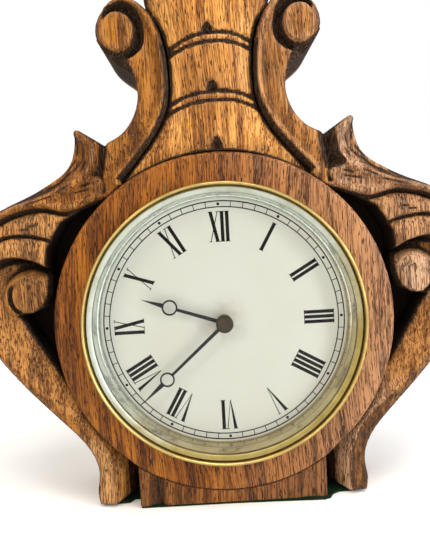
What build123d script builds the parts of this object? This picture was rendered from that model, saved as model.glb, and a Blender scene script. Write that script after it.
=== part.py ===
from build123d import *
from math import cos, radians, sin
import os

# A carved oak mantel clock with a drum timepiece that is wound and set from behind.
# Millimetres, +Z up. The front faces -Y, X = 0 is the middle plane and Z = 0 is the table.
# Depths called y below are counted from the dial's face, positive towards the back.

# ---------------------------------------------------------------- driving dimensions
DIAL_Z = 73.0  # height of the hands' axis above the table
FRONT_REACH = 11.0  # from the dial's face to the bezel's crest
REAR_REACH = 56.0  # from the dial's face to the end of the winding key
DIAL_Y = (FRONT_REACH - REAR_REACH) / 2  # the whole object is centred on Y = 0

FELT = 1.0
FELT_HALF = 51.0
FLOOR = -DIAL_Z + FELT  # underside of the wood, below the hands' axis
SCREEN_RADIUS = 66.8  # turned disc around the dial
SCREEN_FRONT = -5.0
SCREEN_EDGE = 2.2  # radius of the disc's rounded edge
SCREEN_BACK = 6.0
BORE = 52.1  # hole through the disc and the case for the drum
HOUSING_RADIUS = 63.0
GLUE_X = 56.0  # flat glue faces between the case and its wings
WOOD_BACK = 36.0
WING_FRONT = -3.0
WING_BACK = 33.0
WEB_FRONT = 14.0  # floor of the dark recess between the disc and the wings
JOINT_GAP = 0.2  # room around the disc and the housing, filled with glue
NECK_CROWN = -5.5
NECK_BULGE = 5.0
NECK_TOP = 126.0
NECK_TOP_HALF = 17.6
CREST_TOP = 140.0
BASE_HALF = 37.5
BASE_FRONT = -4.5
DOWEL_RADIUS = 2.95
DOWEL_HOLE = 3.0
DOWEL_HEIGHTS = (-14.0, 14.0)  # the dowels between case and wings, above the hands' axis
DOWEL_Y = 23.0
CREST_DOWEL_Y = 12.0
BASE_SCREW_X = 24.0
BASE_SCREW_Y = 20.0
RING_SCREW_ANGLES = (45.0, 135.0, 225.0, 315.0)
RING_SCREW_CIRCLE = 55.2

CAN_OUTER = 51.9
CAN_WALL = 0.6
CAN_INNER = CAN_OUTER - CAN_WALL
COVER_Y = 38.0
BEZEL_OUTER = 54.8
GLASS_BACK = -8.0
GLASS_THICK = 1.4
DIAL_RADIUS = 51.1
DIAL_THICK = 1.0

FRONT_PLATE_Y = 8.0
PLATE_THICK = 1.5
BACK_PLATE_Y = 27.5
BACK_PLATE_RADIUS = 44.0
MOVEMENT_DEPTH = BACK_PLATE_Y - FRONT_PLATE_Y - PLATE_THICK

MINUTE_HAND_ANGLE = 228.6  # clockwise from twelve, at rest
HOUR_HAND_ANGLE = 289.0

# Wheel train: teeth and modules. Each pair is (wheel, pinion).
BARREL_TEETH, CENTRE_LEAVES, BARREL_MODULE = 80, 10, 0.5
CENTRE_TEETH, THIRD_LEAVES, CENTRE_MODULE = 80, 10, 0.4
THIRD_TEETH, FOURTH_LEAVES, THIRD_MODULE = 75, 10, 0.35
FOURTH_TEETH, ESCAPE_LEAVES, FOURTH_MODULE = 80, 8, 0.3
CANNON_TEETH, MINUTE_TEETH, CANNON_MODULE = 12, 36, 0.5
MINUTE_LEAVES, HOUR_TEETH, HOUR_MODULE = 10, 40, 0.48
ESCAPE_TEETH = 15
ESCAPE_RADIUS = 6.5

ARBOR = 0.9  # radius of the centre arbor
PIVOT_ROOM = 0.05  # running clearance of every pivot
BALANCE_RADIUS = 9.0


def centre_distance(teeth, leaves, module):
    return (teeth + leaves) * module / 2


def beside(start, distance, angle):
    """The point at a distance from another, in a direction seen from the front."""
    return (start[0] + distance * cos(radians(angle)), start[1] + distance * sin(radians(angle)))


CENTRE = (0.0, 0.0)
BARREL_DIRECTION = 230.0
THIRD_DIRECTION = 60.0
FOURTH_DIRECTION = -35.0
ESCAPE_DIRECTION = -75.0
LEVER_DIRECTION = -100.0
BALANCE_DIRECTION = -110.0
MINUTE_DIRECTION = 200.0
LEVER_DISTANCE = 9.6
BALANCE_DISTANCE = 10.5

BARREL = beside(CENTRE, centre_distance(BARREL_TEETH, CENTRE_LEAVES, BARREL_MODULE), BARREL_DIRECTION)
THIRD = beside(CENTRE, centre_distance(CENTRE_TEETH, THIRD_LEAVES, CENTRE_MODULE), THIRD_DIRECTION)
FOURTH = beside(THIRD, centre_distance(THIRD_TEETH, FOURTH_LEAVES, THIRD_MODULE), FOURTH_DIRECTION)
ESCAPE = beside(FOURTH, centre_distance(FOURTH_TEETH, ESCAPE_LEAVES, FOURTH_MODULE), ESCAPE_DIRECTION)
LEVER = beside(ESCAPE, LEVER_DISTANCE, LEVER_DIRECTION)
BALANCE = beside(LEVER, BALANCE_DISTANCE, BALANCE_DIRECTION)
MINUTE = beside(CENTRE, centre_distance(CANNON_TEETH, MINUTE_TEETH, CANNON_MODULE), MINUTE_DIRECTION)
PILLARS = [beside(CENTRE, 40.5, angle) for angle in (20.0, 110.0, 180.0, 285.0)]
RING_SCREWS = [beside(CENTRE, RING_SCREW_CIRCLE, angle) for angle in RING_SCREW_ANGLES]
BASE_SCREWS = [(side * BASE_SCREW_X, DIAL_Y + BASE_SCREW_Y) for side in (-1, 1)]  # seen from above


# ---------------------------------------------------------------- shared helpers
# Turned pieces are drawn in SECTION, as (radius, depth), and turned round HANDS_AXIS.
SECTION = Plane(origin=(0, DIAL_Y, DIAL_Z), x_dir=(1, 0, 0), z_dir=(0, 0, 1))
HANDS_AXIS = Axis((0, DIAL_Y, DIAL_Z), (0, 1, 0))


def at(y, where=CENTRE):
    """A plane across the clock at depth y, with its own x to the right, y up and z to the front."""
    origin = (where[0], DIAL_Y + y, DIAL_Z + where[1])
    return Plane(origin=origin, x_dir=(1, 0, 0), z_dir=(0, -1, 0))


def disc(front, back, radius, where=CENTRE, mode=Mode.ADD):
    """A round slab between two depths, added to the part being built."""
    with BuildSketch(at(back, where)) as profile:
        Circle(radius)
    extrude(profile.sketch, amount=back - front, mode=mode)


def tube(front, back, outer, inner, where=CENTRE):
    """A round slab with a round hole."""
    with BuildSketch(at(back, where)) as profile:
        Circle(outer)
        Circle(inner, mode=Mode.SUBTRACT)
    extrude(profile.sketch, amount=back - front)


def tooth_outline(teeth, module, addendum, dedendum, share, towards, gap_first):
    """Points round a toothed edge with a tooth, or a gap, pointing in the direction towards."""
    pitch_radius = teeth * module / 2
    step = 360.0 / teeth
    start = towards + (step / 2 if gap_first else 0.0)
    root, tip = pitch_radius - dedendum * module, pitch_radius + addendum * module
    profile = (
        (root, -1.1 * share),
        (pitch_radius, -share),
        (tip, -0.35 * share),
        (tip, 0.35 * share),
        (pitch_radius, share),
        (root, 1.1 * share),
    )
    points = []
    for tooth in range(teeth):
        for radius, offset in profile:
            angle = radians(start + step * (tooth + offset / 2))
            points.append((radius * cos(angle), radius * sin(angle)))
    return points


def toothed(front, back, where, outline, bore):
    """A slab with a toothed edge and a round bore."""
    with BuildSketch(at(back, where)) as profile:
        with BuildLine():
            Polyline(*outline, close=True)
        make_face()
        Circle(bore, mode=Mode.SUBTRACT)
    extrude(profile.sketch, amount=back - front)


def spoked_wheel(front, back, where, outline, rim_inner, hub, bore, spokes=4, spoke_width=1.6):
    """A toothed rim, crossed out to a few spokes and a hub."""
    with BuildSketch(at(back, where)) as profile:
        with BuildLine():
            Polyline(*outline, close=True)
        make_face()
        Circle(rim_inner, mode=Mode.SUBTRACT)
        with PolarLocations(rim_inner / 2, spokes):
            Rectangle(rim_inner + 0.8, spoke_width)
        Circle(hub)
        Circle(bore, mode=Mode.SUBTRACT)
    extrude(profile.sketch, amount=back - front)


def wheel_teeth(teeth, module, towards):
    return tooth_outline(teeth, module, 0.8, 1.3, 0.38, towards, gap_first=False)


def pinion_leaves(leaves, module, towards):
    return tooth_outline(leaves, module, 0.7, 1.3, 0.36, towards, gap_first=True)


# ---------------------------------------------------------------- the carved oak case
# The right wing's outline, seen from the front, from the arm's foot round the volute, the leaf,
# the outer scroll and the leg. X is to the right and Z is up from the hands' axis.
ARM_INNER = [(37.0, 58.0), (27.0, 69.3), (21.0, 77.6), (17.2, 87.0), (16.5, 97.0), (17.4, 107.4)]
VOLUTE = [(20.0, 116.0), (24.5, 122.6), (31.0, 126.2), (37.5, 125.2), (42.0, 121.0), (43.6, 115.0)]
ARM_OUTER = [(42.0, 109.5), (37.0, 103.7), (31.0, 98.6), (28.4, 91.5), (30.6, 81.8), (36.2, 75.0)]
LEAF_NOTCH = (42.9, 71.8)
LEAF_TIP = (52.8, 77.6)
LEAF_TOP = [(54.6, 69.4), (60.5, 61.6), (72.0, 54.2), (84.0, 48.9), (93.6, 42.0)]
OUTER_SCROLL = [(100.0, 24.0), (96.6, 3.0)]
LEG_OUTER = [(81.0, -21.5), (64.0, -39.4), (53.6, -53.0), (52.8, -65.0)]
FOOT_TOE = (50.2, FLOOR)
FOOT_HEEL = (41.5, FLOOR)
LEG_INNER = (41.2, -54.5)

# The recess between the disc and the wing, from the leg up to the leaf's last lobe.
RECESS = [(66.0, -19.0), (76.7, -1.9), (81.5, 6.7), (77.4, 7.7), (70.6, 10.4), (68.1, 16.5), (68.7, 25.0)]
RECESS += [(68.1, 33.0), (64.6, 38.4), (61.7, 43.0), (54.0, 47.4), (44.8, 50.4)]

NECK_SIDE = [(36.2, 57.4), (26.3, 68.7), (20.2, 77.2), (16.4, 86.7), (15.7, 97.0), (16.4, 107.4)]
NECK_SIDE += [(19.6, 116.0)]

CREST_FRONT = NECK_CROWN + 1.0
CREST_BACK = WING_BACK - 2.0
CREST_SIDE = [(17.0, NECK_TOP), (19.5, NECK_TOP + 3.5), (16.5, NECK_TOP + 8.5), (9.0, NECK_TOP + 12.4)]
CREST_SIDE += [(0.0, CREST_TOP)]

with BuildPart() as right_wing:
    with BuildSketch(at(WING_BACK)):
        with BuildLine():
            Spline(*ARM_INNER, *VOLUTE, *ARM_OUTER, LEAF_NOTCH)
            Line(LEAF_NOTCH, LEAF_TIP)
            Spline(LEAF_TIP, *LEAF_TOP, *OUTER_SCROLL, *LEG_OUTER, FOOT_TOE)
            Polyline(FOOT_TOE, FOOT_HEEL, LEG_INNER, (36.0, -45.0), (36.0, 45.0), ARM_INNER[0])
        make_face()
    extrude(amount=WING_BACK - WING_FRONT)
    # seat of the drum housing, and of the turned disc in front of it
    disc(SCREEN_BACK, WING_BACK, HOUSING_RADIUS + JOINT_GAP, mode=Mode.SUBTRACT)
    disc(WING_FRONT, SCREEN_BACK, SCREEN_RADIUS + JOINT_GAP, mode=Mode.SUBTRACT)
    # the deep carved recess beside the disc
    with BuildSketch(at(WEB_FRONT)):
        with BuildLine():
            Polyline((54.0, -34.0), RECESS[0])
            Spline(*RECESS[:3])
            Line(RECESS[2], RECESS[3])
            Spline(*RECESS[3:8])
            Polyline(RECESS[7], *RECESS[8:], (40.0, 48.0), (54.0, -34.0))
        make_face()
    extrude(amount=WEB_FRONT - WING_FRONT, mode=Mode.SUBTRACT)
    # flat glue face against the case
    with BuildSketch(at(WING_BACK)):
        with Locations((GLUE_X - 10, 0)):
            Rectangle(20, 60)
    extrude(amount=WING_BACK - SCREEN_BACK, mode=Mode.SUBTRACT)
    # holes for two dowels
    for height in DOWEL_HEIGHTS:
        with BuildSketch(Plane(origin=(GLUE_X, DIAL_Y + DOWEL_Y, DIAL_Z + height), z_dir=(1, 0, 0))):
            Circle(DOWEL_HOLE)
        extrude(amount=9.0, mode=Mode.SUBTRACT)

with BuildPart() as left_wing:
    mirror(right_wing.part, about=Plane.YZ)

with BuildPart() as case_body:
    # drum housing with flat sides
    with BuildSketch(at(WOOD_BACK)):
        Circle(HOUSING_RADIUS)
        Rectangle(2 * GLUE_X, 2 * HOUSING_RADIUS, mode=Mode.INTERSECT)
    extrude(amount=WOOD_BACK - SCREEN_BACK)
    # neck column, bowed in plan
    with BuildSketch(at(WING_BACK)):
        with BuildLine():
            right_side = Spline(*NECK_SIDE)
            Line(NECK_SIDE[-1], (NECK_TOP_HALF, NECK_TOP))
            Line((NECK_TOP_HALF, NECK_TOP), (-NECK_TOP_HALF, NECK_TOP))
            mirror(right_side, about=Plane.YZ)
            Line((-NECK_TOP_HALF, NECK_TOP), (-NECK_SIDE[-1][0], NECK_SIDE[-1][1]))
            Line((-36.2, 57.4), (-24.0, 40.0))
            Line((-24.0, 40.0), (24.0, 40.0))
            Line((24.0, 40.0), (36.2, 57.4))
        make_face()
    extrude(amount=WING_BACK - NECK_CROWN)
    # the bow: what stands in front of an arc across the neck is taken off
    side_y = DIAL_Y + NECK_CROWN + NECK_BULGE
    with BuildSketch(Plane.XY.offset(DIAL_Z)):
        with BuildLine():
            ThreePointArc((-40, side_y + 7), (0, DIAL_Y + NECK_CROWN), (40, side_y + 7))
            Polyline((40, side_y + 7), (40, DIAL_Y - 12), (-40, DIAL_Y - 12), (-40, side_y + 7))
        make_face()
    extrude(amount=NECK_TOP + 1, mode=Mode.SUBTRACT)
    disc(NECK_CROWN, SCREEN_BACK, SCREEN_RADIUS + JOINT_GAP, mode=Mode.SUBTRACT)
    disc(SCREEN_BACK, WOOD_BACK, BORE, mode=Mode.SUBTRACT)
    for side in (-1, 1):
        for height in DOWEL_HEIGHTS:
            where = (side * GLUE_X, DIAL_Y + DOWEL_Y, DIAL_Z + height)
            with BuildSketch(Plane(origin=where, z_dir=(-side, 0, 0))):
                Circle(DOWEL_HOLE)
            extrude(amount=2.4, mode=Mode.SUBTRACT)
    # hole for the crest's dowel, and pilot holes for the screws of the base and of the rear ring
    with BuildSketch(Plane.XY.offset(DIAL_Z + NECK_TOP)):
        with Locations((0, DIAL_Y + CREST_DOWEL_Y)):
            Circle(DOWEL_HOLE)
    extrude(amount=-10.0, mode=Mode.SUBTRACT)
    with BuildSketch(Plane.XY.offset(FELT)):
        with Locations(*BASE_SCREWS):
            Circle(1.6)
    extrude(amount=21.0, mode=Mode.SUBTRACT)
    for where in RING_SCREWS:
        disc(WOOD_BACK - 9.5, WOOD_BACK, 1.25, where=where, mode=Mode.SUBTRACT)

with BuildPart() as wing_dowels:
    for side in (-1, 1):
        for height in DOWEL_HEIGHTS:
            where = (side * (GLUE_X - 2.2), DIAL_Y + DOWEL_Y, DIAL_Z + height)
            with BuildSketch(Plane(origin=where, z_dir=(side, 0, 0))):
                Circle(DOWEL_RADIUS)
            extrude(amount=11.0)

with BuildPart() as crest:
    with BuildSketch(at(CREST_BACK)):
        with BuildLine():
            right_side = Spline(*CREST_SIDE)
            mirror(right_side, about=Plane.YZ)
            Line((-CREST_SIDE[0][0], NECK_TOP), CREST_SIDE[0])
        make_face()
    extrude(amount=CREST_BACK - CREST_FRONT)
    with BuildSketch(Plane.XY.offset(DIAL_Z + NECK_TOP)):
        with Locations((0, DIAL_Y + CREST_DOWEL_Y)):
            Circle(DOWEL_HOLE)
    extrude(amount=7.0, mode=Mode.SUBTRACT)

with BuildPart() as crest_dowel:
    with BuildSketch(Plane.XY.offset(DIAL_Z + NECK_TOP - 9.0)):
        with Locations((0, DIAL_Y + CREST_DOWEL_Y)):
            Circle(DOWEL_RADIUS)
    extrude(amount=15.0)

with BuildPart() as dial_disc:
    with BuildSketch(SECTION):
        with BuildLine():
            Polyline((BORE, SCREEN_FRONT), (SCREEN_RADIUS - SCREEN_EDGE, SCREEN_FRONT))
            CenterArc((SCREEN_RADIUS - SCREEN_EDGE, SCREEN_FRONT + SCREEN_EDGE), SCREEN_EDGE, -90, 90)
            Polyline((SCREEN_RADIUS, SCREEN_FRONT + SCREEN_EDGE), (SCREEN_RADIUS, SCREEN_BACK),
                     (BORE, SCREEN_BACK), (BORE, SCREEN_FRONT))
        make_face()
    revolve(axis=HANDS_AXIS)

with BuildPart() as base_block:
    with BuildSketch(at(WOOD_BACK)):
        with BuildLine():
            Polyline((-BASE_HALF, FLOOR), (BASE_HALF, FLOOR), (BASE_HALF, -45.0),
                     (-BASE_HALF, -45.0), close=True)
        make_face()
    extrude(amount=WOOD_BACK - BASE_FRONT)
    disc(BASE_FRONT, SCREEN_BACK, SCREEN_RADIUS + JOINT_GAP, mode=Mode.SUBTRACT)
    disc(SCREEN_BACK, WOOD_BACK, HOUSING_RADIUS + JOINT_GAP, mode=Mode.SUBTRACT)
    # clearance holes and countersinks of the two screws
    for radius, length in ((2.0, 30.0), (3.8, 2.2)):
        with BuildSketch(Plane.XY.offset(FELT)):
            with Locations(*BASE_SCREWS):
                Circle(radius)
        extrude(amount=length, mode=Mode.SUBTRACT)

with BuildPart() as base_screws:
    for height, radius, length in ((FELT + 0.2, 3.5, 1.9), (FELT + 2.1, 1.5, 18.0)):
        with BuildSketch(Plane.XY.offset(height)):
            with Locations(*BASE_SCREWS):
                Circle(radius)
        extrude(amount=length)

with BuildPart() as felt_pad:
    with BuildSketch(Plane.XY):
        with BuildLine():
            Polyline((-FELT_HALF, DIAL_Y + WING_FRONT), (-40.0, DIAL_Y + WING_FRONT),
                     (-38.0, DIAL_Y + BASE_FRONT), (38.0, DIAL_Y + BASE_FRONT),
                     (40.0, DIAL_Y + WING_FRONT), (FELT_HALF, DIAL_Y + WING_FRONT),
                     (FELT_HALF, DIAL_Y + WING_BACK), (-FELT_HALF, DIAL_Y + WING_BACK), close=True)
        make_face()
    extrude(amount=FELT)

# ---------------------------------------------------------------- drum, bezel, glass and dial
with BuildPart() as drum_can:
    tube(GLASS_BACK, COVER_Y, CAN_OUTER, CAN_INNER)

with BuildPart() as bezel:
    with BuildSketch(SECTION):
        with BuildLine():
            Line((BEZEL_OUTER, SCREEN_FRONT), (BEZEL_OUTER, GLASS_BACK))
            ThreePointArc((BEZEL_OUTER, GLASS_BACK), (BEZEL_OUTER - 0.6, -10.2), (52.5, -FRONT_REACH))
            ThreePointArc((52.5, -FRONT_REACH), (51.3, -10.75), (50.6, -9.9))
            Polyline((50.6, -9.9), (50.6, -9.5), (51.2, -9.5), (51.2, GLASS_BACK), (CAN_OUTER, GLASS_BACK),
                     (CAN_OUTER, SCREEN_FRONT), (BEZEL_OUTER, SCREEN_FRONT))
        make_face()
    revolve(axis=HANDS_AXIS)

with BuildPart() as glass:
    disc(GLASS_BACK - GLASS_THICK, GLASS_BACK, 51.15)

with BuildPart() as sight_ring:
    with BuildSketch(SECTION):
        with BuildLine():
            Polyline((48.9, 0.0), (49.6, 0.0), (51.2, -7.4), (51.2, GLASS_BACK), (50.6, GLASS_BACK), close=True)
        make_face()
    revolve(axis=HANDS_AXIS)

with BuildPart() as dial:
    tube(0.0, DIAL_THICK, DIAL_RADIUS, 3.0)

with BuildPart() as dial_feet:
    for angle in (0.0, 120.0, 240.0):
        disc(DIAL_THICK, FRONT_PLATE_Y, 1.2, where=beside(CENTRE, 36.0, angle))

with BuildPart() as rear_ring:
    with BuildSketch(at(WOOD_BACK + 1.2)):
        Circle(58.5)
        Circle(CAN_OUTER, mode=Mode.SUBTRACT)
        with Locations(*RING_SCREWS):
            Circle(1.3, mode=Mode.SUBTRACT)
    extrude(amount=1.2)

with BuildPart() as rear_ring_screws:
    for where in RING_SCREWS:
        disc(WOOD_BACK + 1.2, WOOD_BACK + 2.2, 2.1, where=where)
        disc(WOOD_BACK - 9.0, WOOD_BACK + 1.2, 1.2, where=where)

with BuildPart() as back_cover:
    disc(COVER_Y, COVER_Y + 0.8, CAN_OUTER + 0.9)
    tube(COVER_Y - 0.75, COVER_Y, CAN_OUTER + 0.9, CAN_OUTER)
    disc(COVER_Y, COVER_Y + 0.8, 2.0, mode=Mode.SUBTRACT)
    disc(COVER_Y, COVER_Y + 0.8, 2.6, where=BARREL, mode=Mode.SUBTRACT)

# ---------------------------------------------------------------- movement frame
PIVOTS = ((CENTRE, ARBOR), (BARREL, 2.0), (THIRD, 0.6), (FOURTH, 0.5), (ESCAPE, 0.4), (LEVER, 0.4))
with BuildPart() as front_plate:
    disc(FRONT_PLATE_Y, FRONT_PLATE_Y + PLATE_THICK, CAN_INNER)
    for where, radius in (*PIVOTS, (BALANCE, 0.4)):
        disc(FRONT_PLATE_Y, FRONT_PLATE_Y + PLATE_THICK, radius + PIVOT_ROOM, where=where, mode=Mode.SUBTRACT)

with BuildPart() as back_plate:
    disc(BACK_PLATE_Y, BACK_PLATE_Y + PLATE_THICK, BACK_PLATE_RADIUS)
    for where, radius in (*PIVOTS, (BALANCE, 1.6)):
        disc(BACK_PLATE_Y, BACK_PLATE_Y + PLATE_THICK, radius + PIVOT_ROOM, where=where, mode=Mode.SUBTRACT)
    for where in PILLARS:
        disc(BACK_PLATE_Y, BACK_PLATE_Y + PLATE_THICK, 1.3, where=where, mode=Mode.SUBTRACT)

with BuildPart() as pillars:
    for where in PILLARS:
        with BuildSketch(at(BACK_PLATE_Y, where)):
            Circle(2.2)
            Circle(1.0, mode=Mode.SUBTRACT)
        extrude(amount=MOVEMENT_DEPTH)

with BuildPart() as pillar_screws:
    for where in PILLARS:
        disc(BACK_PLATE_Y - 4.0, BACK_PLATE_Y + PLATE_THICK, 0.95, where=where)
        disc(BACK_PLATE_Y + PLATE_THICK, BACK_PLATE_Y + PLATE_THICK + 1.2, 2.0, where=where)

# ---------------------------------------------------------------- power: barrel and winding work
BARREL_FRONT = 13.6
BARREL_BACK = 25.5
BARREL_RADIUS = 18.9
to_barrel = BARREL_DIRECTION
with BuildPart() as barrel:
    outline = wheel_teeth(BARREL_TEETH, BARREL_MODULE, to_barrel + 180)
    toothed(BARREL_FRONT, BARREL_FRONT + 1.5, BARREL, outline, 2.5 + PIVOT_ROOM)
    tube(BARREL_FRONT + 1.5, BARREL_BACK, BARREL_RADIUS, BARREL_RADIUS - 0.9, where=BARREL)

with BuildPart() as barrel_cover:
    tube(BARREL_BACK, BARREL_BACK + 0.8, BARREL_RADIUS, 2.5 + PIVOT_ROOM, where=BARREL)

with BuildPart() as mainspring:
    # the coils as closed rings, wound against the barrel's wall
    for turn in range(8):
        outer = BARREL_RADIUS - 1.1 - turn * 1.1
        tube(BARREL_FRONT + 2.0, BARREL_BACK - 0.5, outer, outer - 0.5, where=BARREL)

with BuildPart() as winding_arbor:
    disc(FRONT_PLATE_Y, BARREL_FRONT - 0.6, 2.0, where=BARREL)
    disc(BARREL_FRONT - 0.6, BARREL_BACK + 1.4, 2.5, where=BARREL)
    disc(BARREL_BACK + 1.4, COVER_Y + 4.0, 2.0, where=BARREL)

RATCHET_FRONT = BACK_PLATE_Y + PLATE_THICK + 0.4
RATCHET_THICK = 1.2
RATCHET_RADIUS = 8.0
CLICK = beside(BARREL, 12.4, 150.0)
with BuildPart() as ratchet_wheel:
    with BuildSketch(at(RATCHET_FRONT + RATCHET_THICK, BARREL)):
        with BuildLine():
            ratchet_points = []
            for tooth in range(24):
                high, low = radians(15.0 * tooth + 1.0), radians(15.0 * tooth + 15.0)
                ratchet_points.append((RATCHET_RADIUS * cos(high), RATCHET_RADIUS * sin(high)))
                ratchet_points.append(((RATCHET_RADIUS - 1.0) * cos(low), (RATCHET_RADIUS - 1.0) * sin(low)))
            Polyline(*ratchet_points, close=True)
        make_face()
        Circle(2.0, mode=Mode.SUBTRACT)
    extrude(amount=RATCHET_THICK)

with BuildPart() as click:
    with BuildSketch(at(RATCHET_FRONT + RATCHET_THICK, CLICK)):
        Circle(1.9)
        with BuildLine():
            Polyline((-1.2, -1.4), (1.9, -5.2), (2.7, -4.4), (1.6, 1.0), close=True)
        make_face()
        Circle(0.8 + PIVOT_ROOM, mode=Mode.SUBTRACT)
    extrude(amount=RATCHET_THICK)

with BuildPart() as click_screw:
    disc(BACK_PLATE_Y + PLATE_THICK, RATCHET_FRONT + RATCHET_THICK + 0.3, 0.8, where=CLICK)
    disc(RATCHET_FRONT + RATCHET_THICK + 0.3, RATCHET_FRONT + RATCHET_THICK + 1.1, 1.7, where=CLICK)

with BuildPart() as click_spring:
    with BuildSketch(at(RATCHET_FRONT + RATCHET_THICK, CLICK)):
        with BuildLine():
            Polyline((-7.0, -5.0), (-3.6, -4.2), (-2.6, -1.2), (-3.1, -1.1), (-4.0, -3.6), (-7.2, -4.2), close=True)
        make_face()
    extrude(amount=RATCHET_THICK)
    disc(BACK_PLATE_Y + PLATE_THICK, RATCHET_FRONT + RATCHET_THICK, 1.6, where=(CLICK[0] - 8.2, CLICK[1] - 5.0))

with BuildPart() as winding_key:
    tube(COVER_Y + 2.0, COVER_Y + 11.0, 3.2, 2.0, where=BARREL)
    with BuildSketch(at(COVER_Y + 10.0, BARREL)):
        Circle(3.2)
    extrude(amount=1.6)
    # two flat pierced wings, joined by a web
    with BuildSketch(Plane(origin=(BARREL[0], DIAL_Y + COVER_Y + 12.0, DIAL_Z + BARREL[1] - 0.9))):
        Rectangle(6.0, 4.4)
        with Locations((-5.4, 0.6), (5.4, 0.6)):
            Ellipse(5.6, 5.4)
        with Locations((-6.4, 0.9), (6.4, 0.9)):
            Circle(2.6, mode=Mode.SUBTRACT)
    extrude(amount=1.8)
    disc(COVER_Y + 2.0, COVER_Y + 6.0, 2.0, where=BARREL, mode=Mode.SUBTRACT)

# ---------------------------------------------------------------- going train
with BuildPart() as centre_wheel:
    outline = wheel_teeth(CENTRE_TEETH, CENTRE_MODULE, THIRD_DIRECTION)
    spoked_wheel(11.5, 12.5, CENTRE, outline, 13.4, 3.2, ARBOR + PIVOT_ROOM)
    toothed(12.5, 25.0, CENTRE, pinion_leaves(CENTRE_LEAVES, BARREL_MODULE, to_barrel), ARBOR + PIVOT_ROOM)

with BuildPart() as third_wheel:
    disc(FRONT_PLATE_Y, BACK_PLATE_Y + PLATE_THICK, 0.6, where=THIRD)
    toothed(10.8, 13.2, THIRD, pinion_leaves(THIRD_LEAVES, CENTRE_MODULE, THIRD_DIRECTION + 180), 0.6)
    spoked_wheel(16.0, 16.8, THIRD, wheel_teeth(THIRD_TEETH, THIRD_MODULE, FOURTH_DIRECTION), 11.0, 2.4, 0.6)

with BuildPart() as fourth_wheel:
    disc(FRONT_PLATE_Y, BACK_PLATE_Y + PLATE_THICK, 0.5, where=FOURTH)
    toothed(15.2, 17.6, FOURTH, pinion_leaves(FOURTH_LEAVES, THIRD_MODULE, FOURTH_DIRECTION + 180), 0.5)
    spoked_wheel(20.0, 20.7, FOURTH, wheel_teeth(FOURTH_TEETH, FOURTH_MODULE, ESCAPE_DIRECTION), 10.2, 2.2, 0.5)

with BuildPart() as escape_wheel:
    disc(FRONT_PLATE_Y, BACK_PLATE_Y + PLATE_THICK, 0.4, where=ESCAPE)
    toothed(19.2, 21.5, ESCAPE, pinion_leaves(ESCAPE_LEAVES, FOURTH_MODULE, ESCAPE_DIRECTION + 180), 0.4)
    with BuildSketch(at(23.5, ESCAPE)):
        with BuildLine():
            escape_points = []
            for tooth in range(ESCAPE_TEETH):
                for turn, radius in ((0.0, 5.0), (4.0, 5.0), (9.0, ESCAPE_RADIUS), (11.0, ESCAPE_RADIUS),
                                     (12.0, 5.2)):
                    angle = radians(360.0 / ESCAPE_TEETH * tooth + turn)
                    escape_points.append((radius * cos(angle), radius * sin(angle)))
            Polyline(*escape_points, close=True)
        make_face()
        Circle(4.1, mode=Mode.SUBTRACT)
        with PolarLocations(2.2, 3):
            Rectangle(4.6, 1.0)
        Circle(1.3)
        Circle(0.4, mode=Mode.SUBTRACT)
    extrude(amount=0.5)

# ---------------------------------------------------------------- lever, balance and regulator
with BuildPart() as pallet_lever:
    disc(FRONT_PLATE_Y, BACK_PLATE_Y + PLATE_THICK, 0.4, where=LEVER)
    with BuildSketch(at(23.6, LEVER)):
        with BuildLine():
            # anchor with its two pallets towards the escape wheel
            Polyline((-4.6, 0.6), (-4.4, 2.2), (-3.6, 2.4), (-3.2, 0.9), (0.0, 1.3), (3.2, 0.9), (3.9, 2.4),
                     (4.7, 2.2), (4.6, 0.6), (0.8, -0.8), (-2.0, -6.6), (-3.0, -6.3), (-0.9, -0.7), close=True)
        make_face()
        Circle(0.4, mode=Mode.SUBTRACT)
    extrude(amount=0.6)

HAIRSPRING_Y = 31.2
COCK_Y = 32.6
with BuildPart() as balance:
    disc(FRONT_PLATE_Y, COCK_Y + 1.4, 0.4, where=BALANCE)
    disc(23.0, 23.6, 1.5, where=BALANCE)
    disc(28.0, HAIRSPRING_Y - 0.4, 1.1, where=BALANCE)
    with BuildSketch(at(30.4, BALANCE)):
        Circle(BALANCE_RADIUS)
        Circle(BALANCE_RADIUS - 1.2, mode=Mode.SUBTRACT)
        Rectangle(2 * BALANCE_RADIUS - 1.6, 1.2)
        Circle(1.8)
    extrude(amount=0.9)
    with BuildSketch(at(30.4, BALANCE)):
        with PolarLocations(BALANCE_RADIUS + 0.35, 12, start_angle=15):
            Circle(0.5)
    extrude(amount=0.7)

with BuildPart() as hairspring:
    # the coils as closed rings round the collet, with a tail to the stud
    for turn in range(5):
        outer = 2.4 + turn * 0.8
        tube(HAIRSPRING_Y, HAIRSPRING_Y + 0.4, outer, outer - 0.25, where=BALANCE)
    with BuildSketch(at(HAIRSPRING_Y + 0.4, BALANCE)):
        with Locations((3.9, 0)):
            Rectangle(3.6, 0.25)
    extrude(amount=0.4)

COCK_DIRECTION = 205.0
COCK_FOOT = beside(BALANCE, 13.2, COCK_DIRECTION)
with BuildPart() as balance_cock:
    with BuildSketch(at(COCK_Y + 1.4, BALANCE)):
        Circle(3.4)
        with Locations(Rotation(0, 0, COCK_DIRECTION)):
            with Locations((6.6, 0)):
                Rectangle(13.2, 4.4)
        with Locations((COCK_FOOT[0] - BALANCE[0], COCK_FOOT[1] - BALANCE[1])):
            Circle(3.0)
        Circle(0.4 + PIVOT_ROOM, mode=Mode.SUBTRACT)
    extrude(amount=1.4)
    disc(BACK_PLATE_Y + PLATE_THICK, COCK_Y, 2.6, where=COCK_FOOT)
    disc(BACK_PLATE_Y + PLATE_THICK, COCK_Y + 1.4, 1.0, where=COCK_FOOT, mode=Mode.SUBTRACT)

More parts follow.
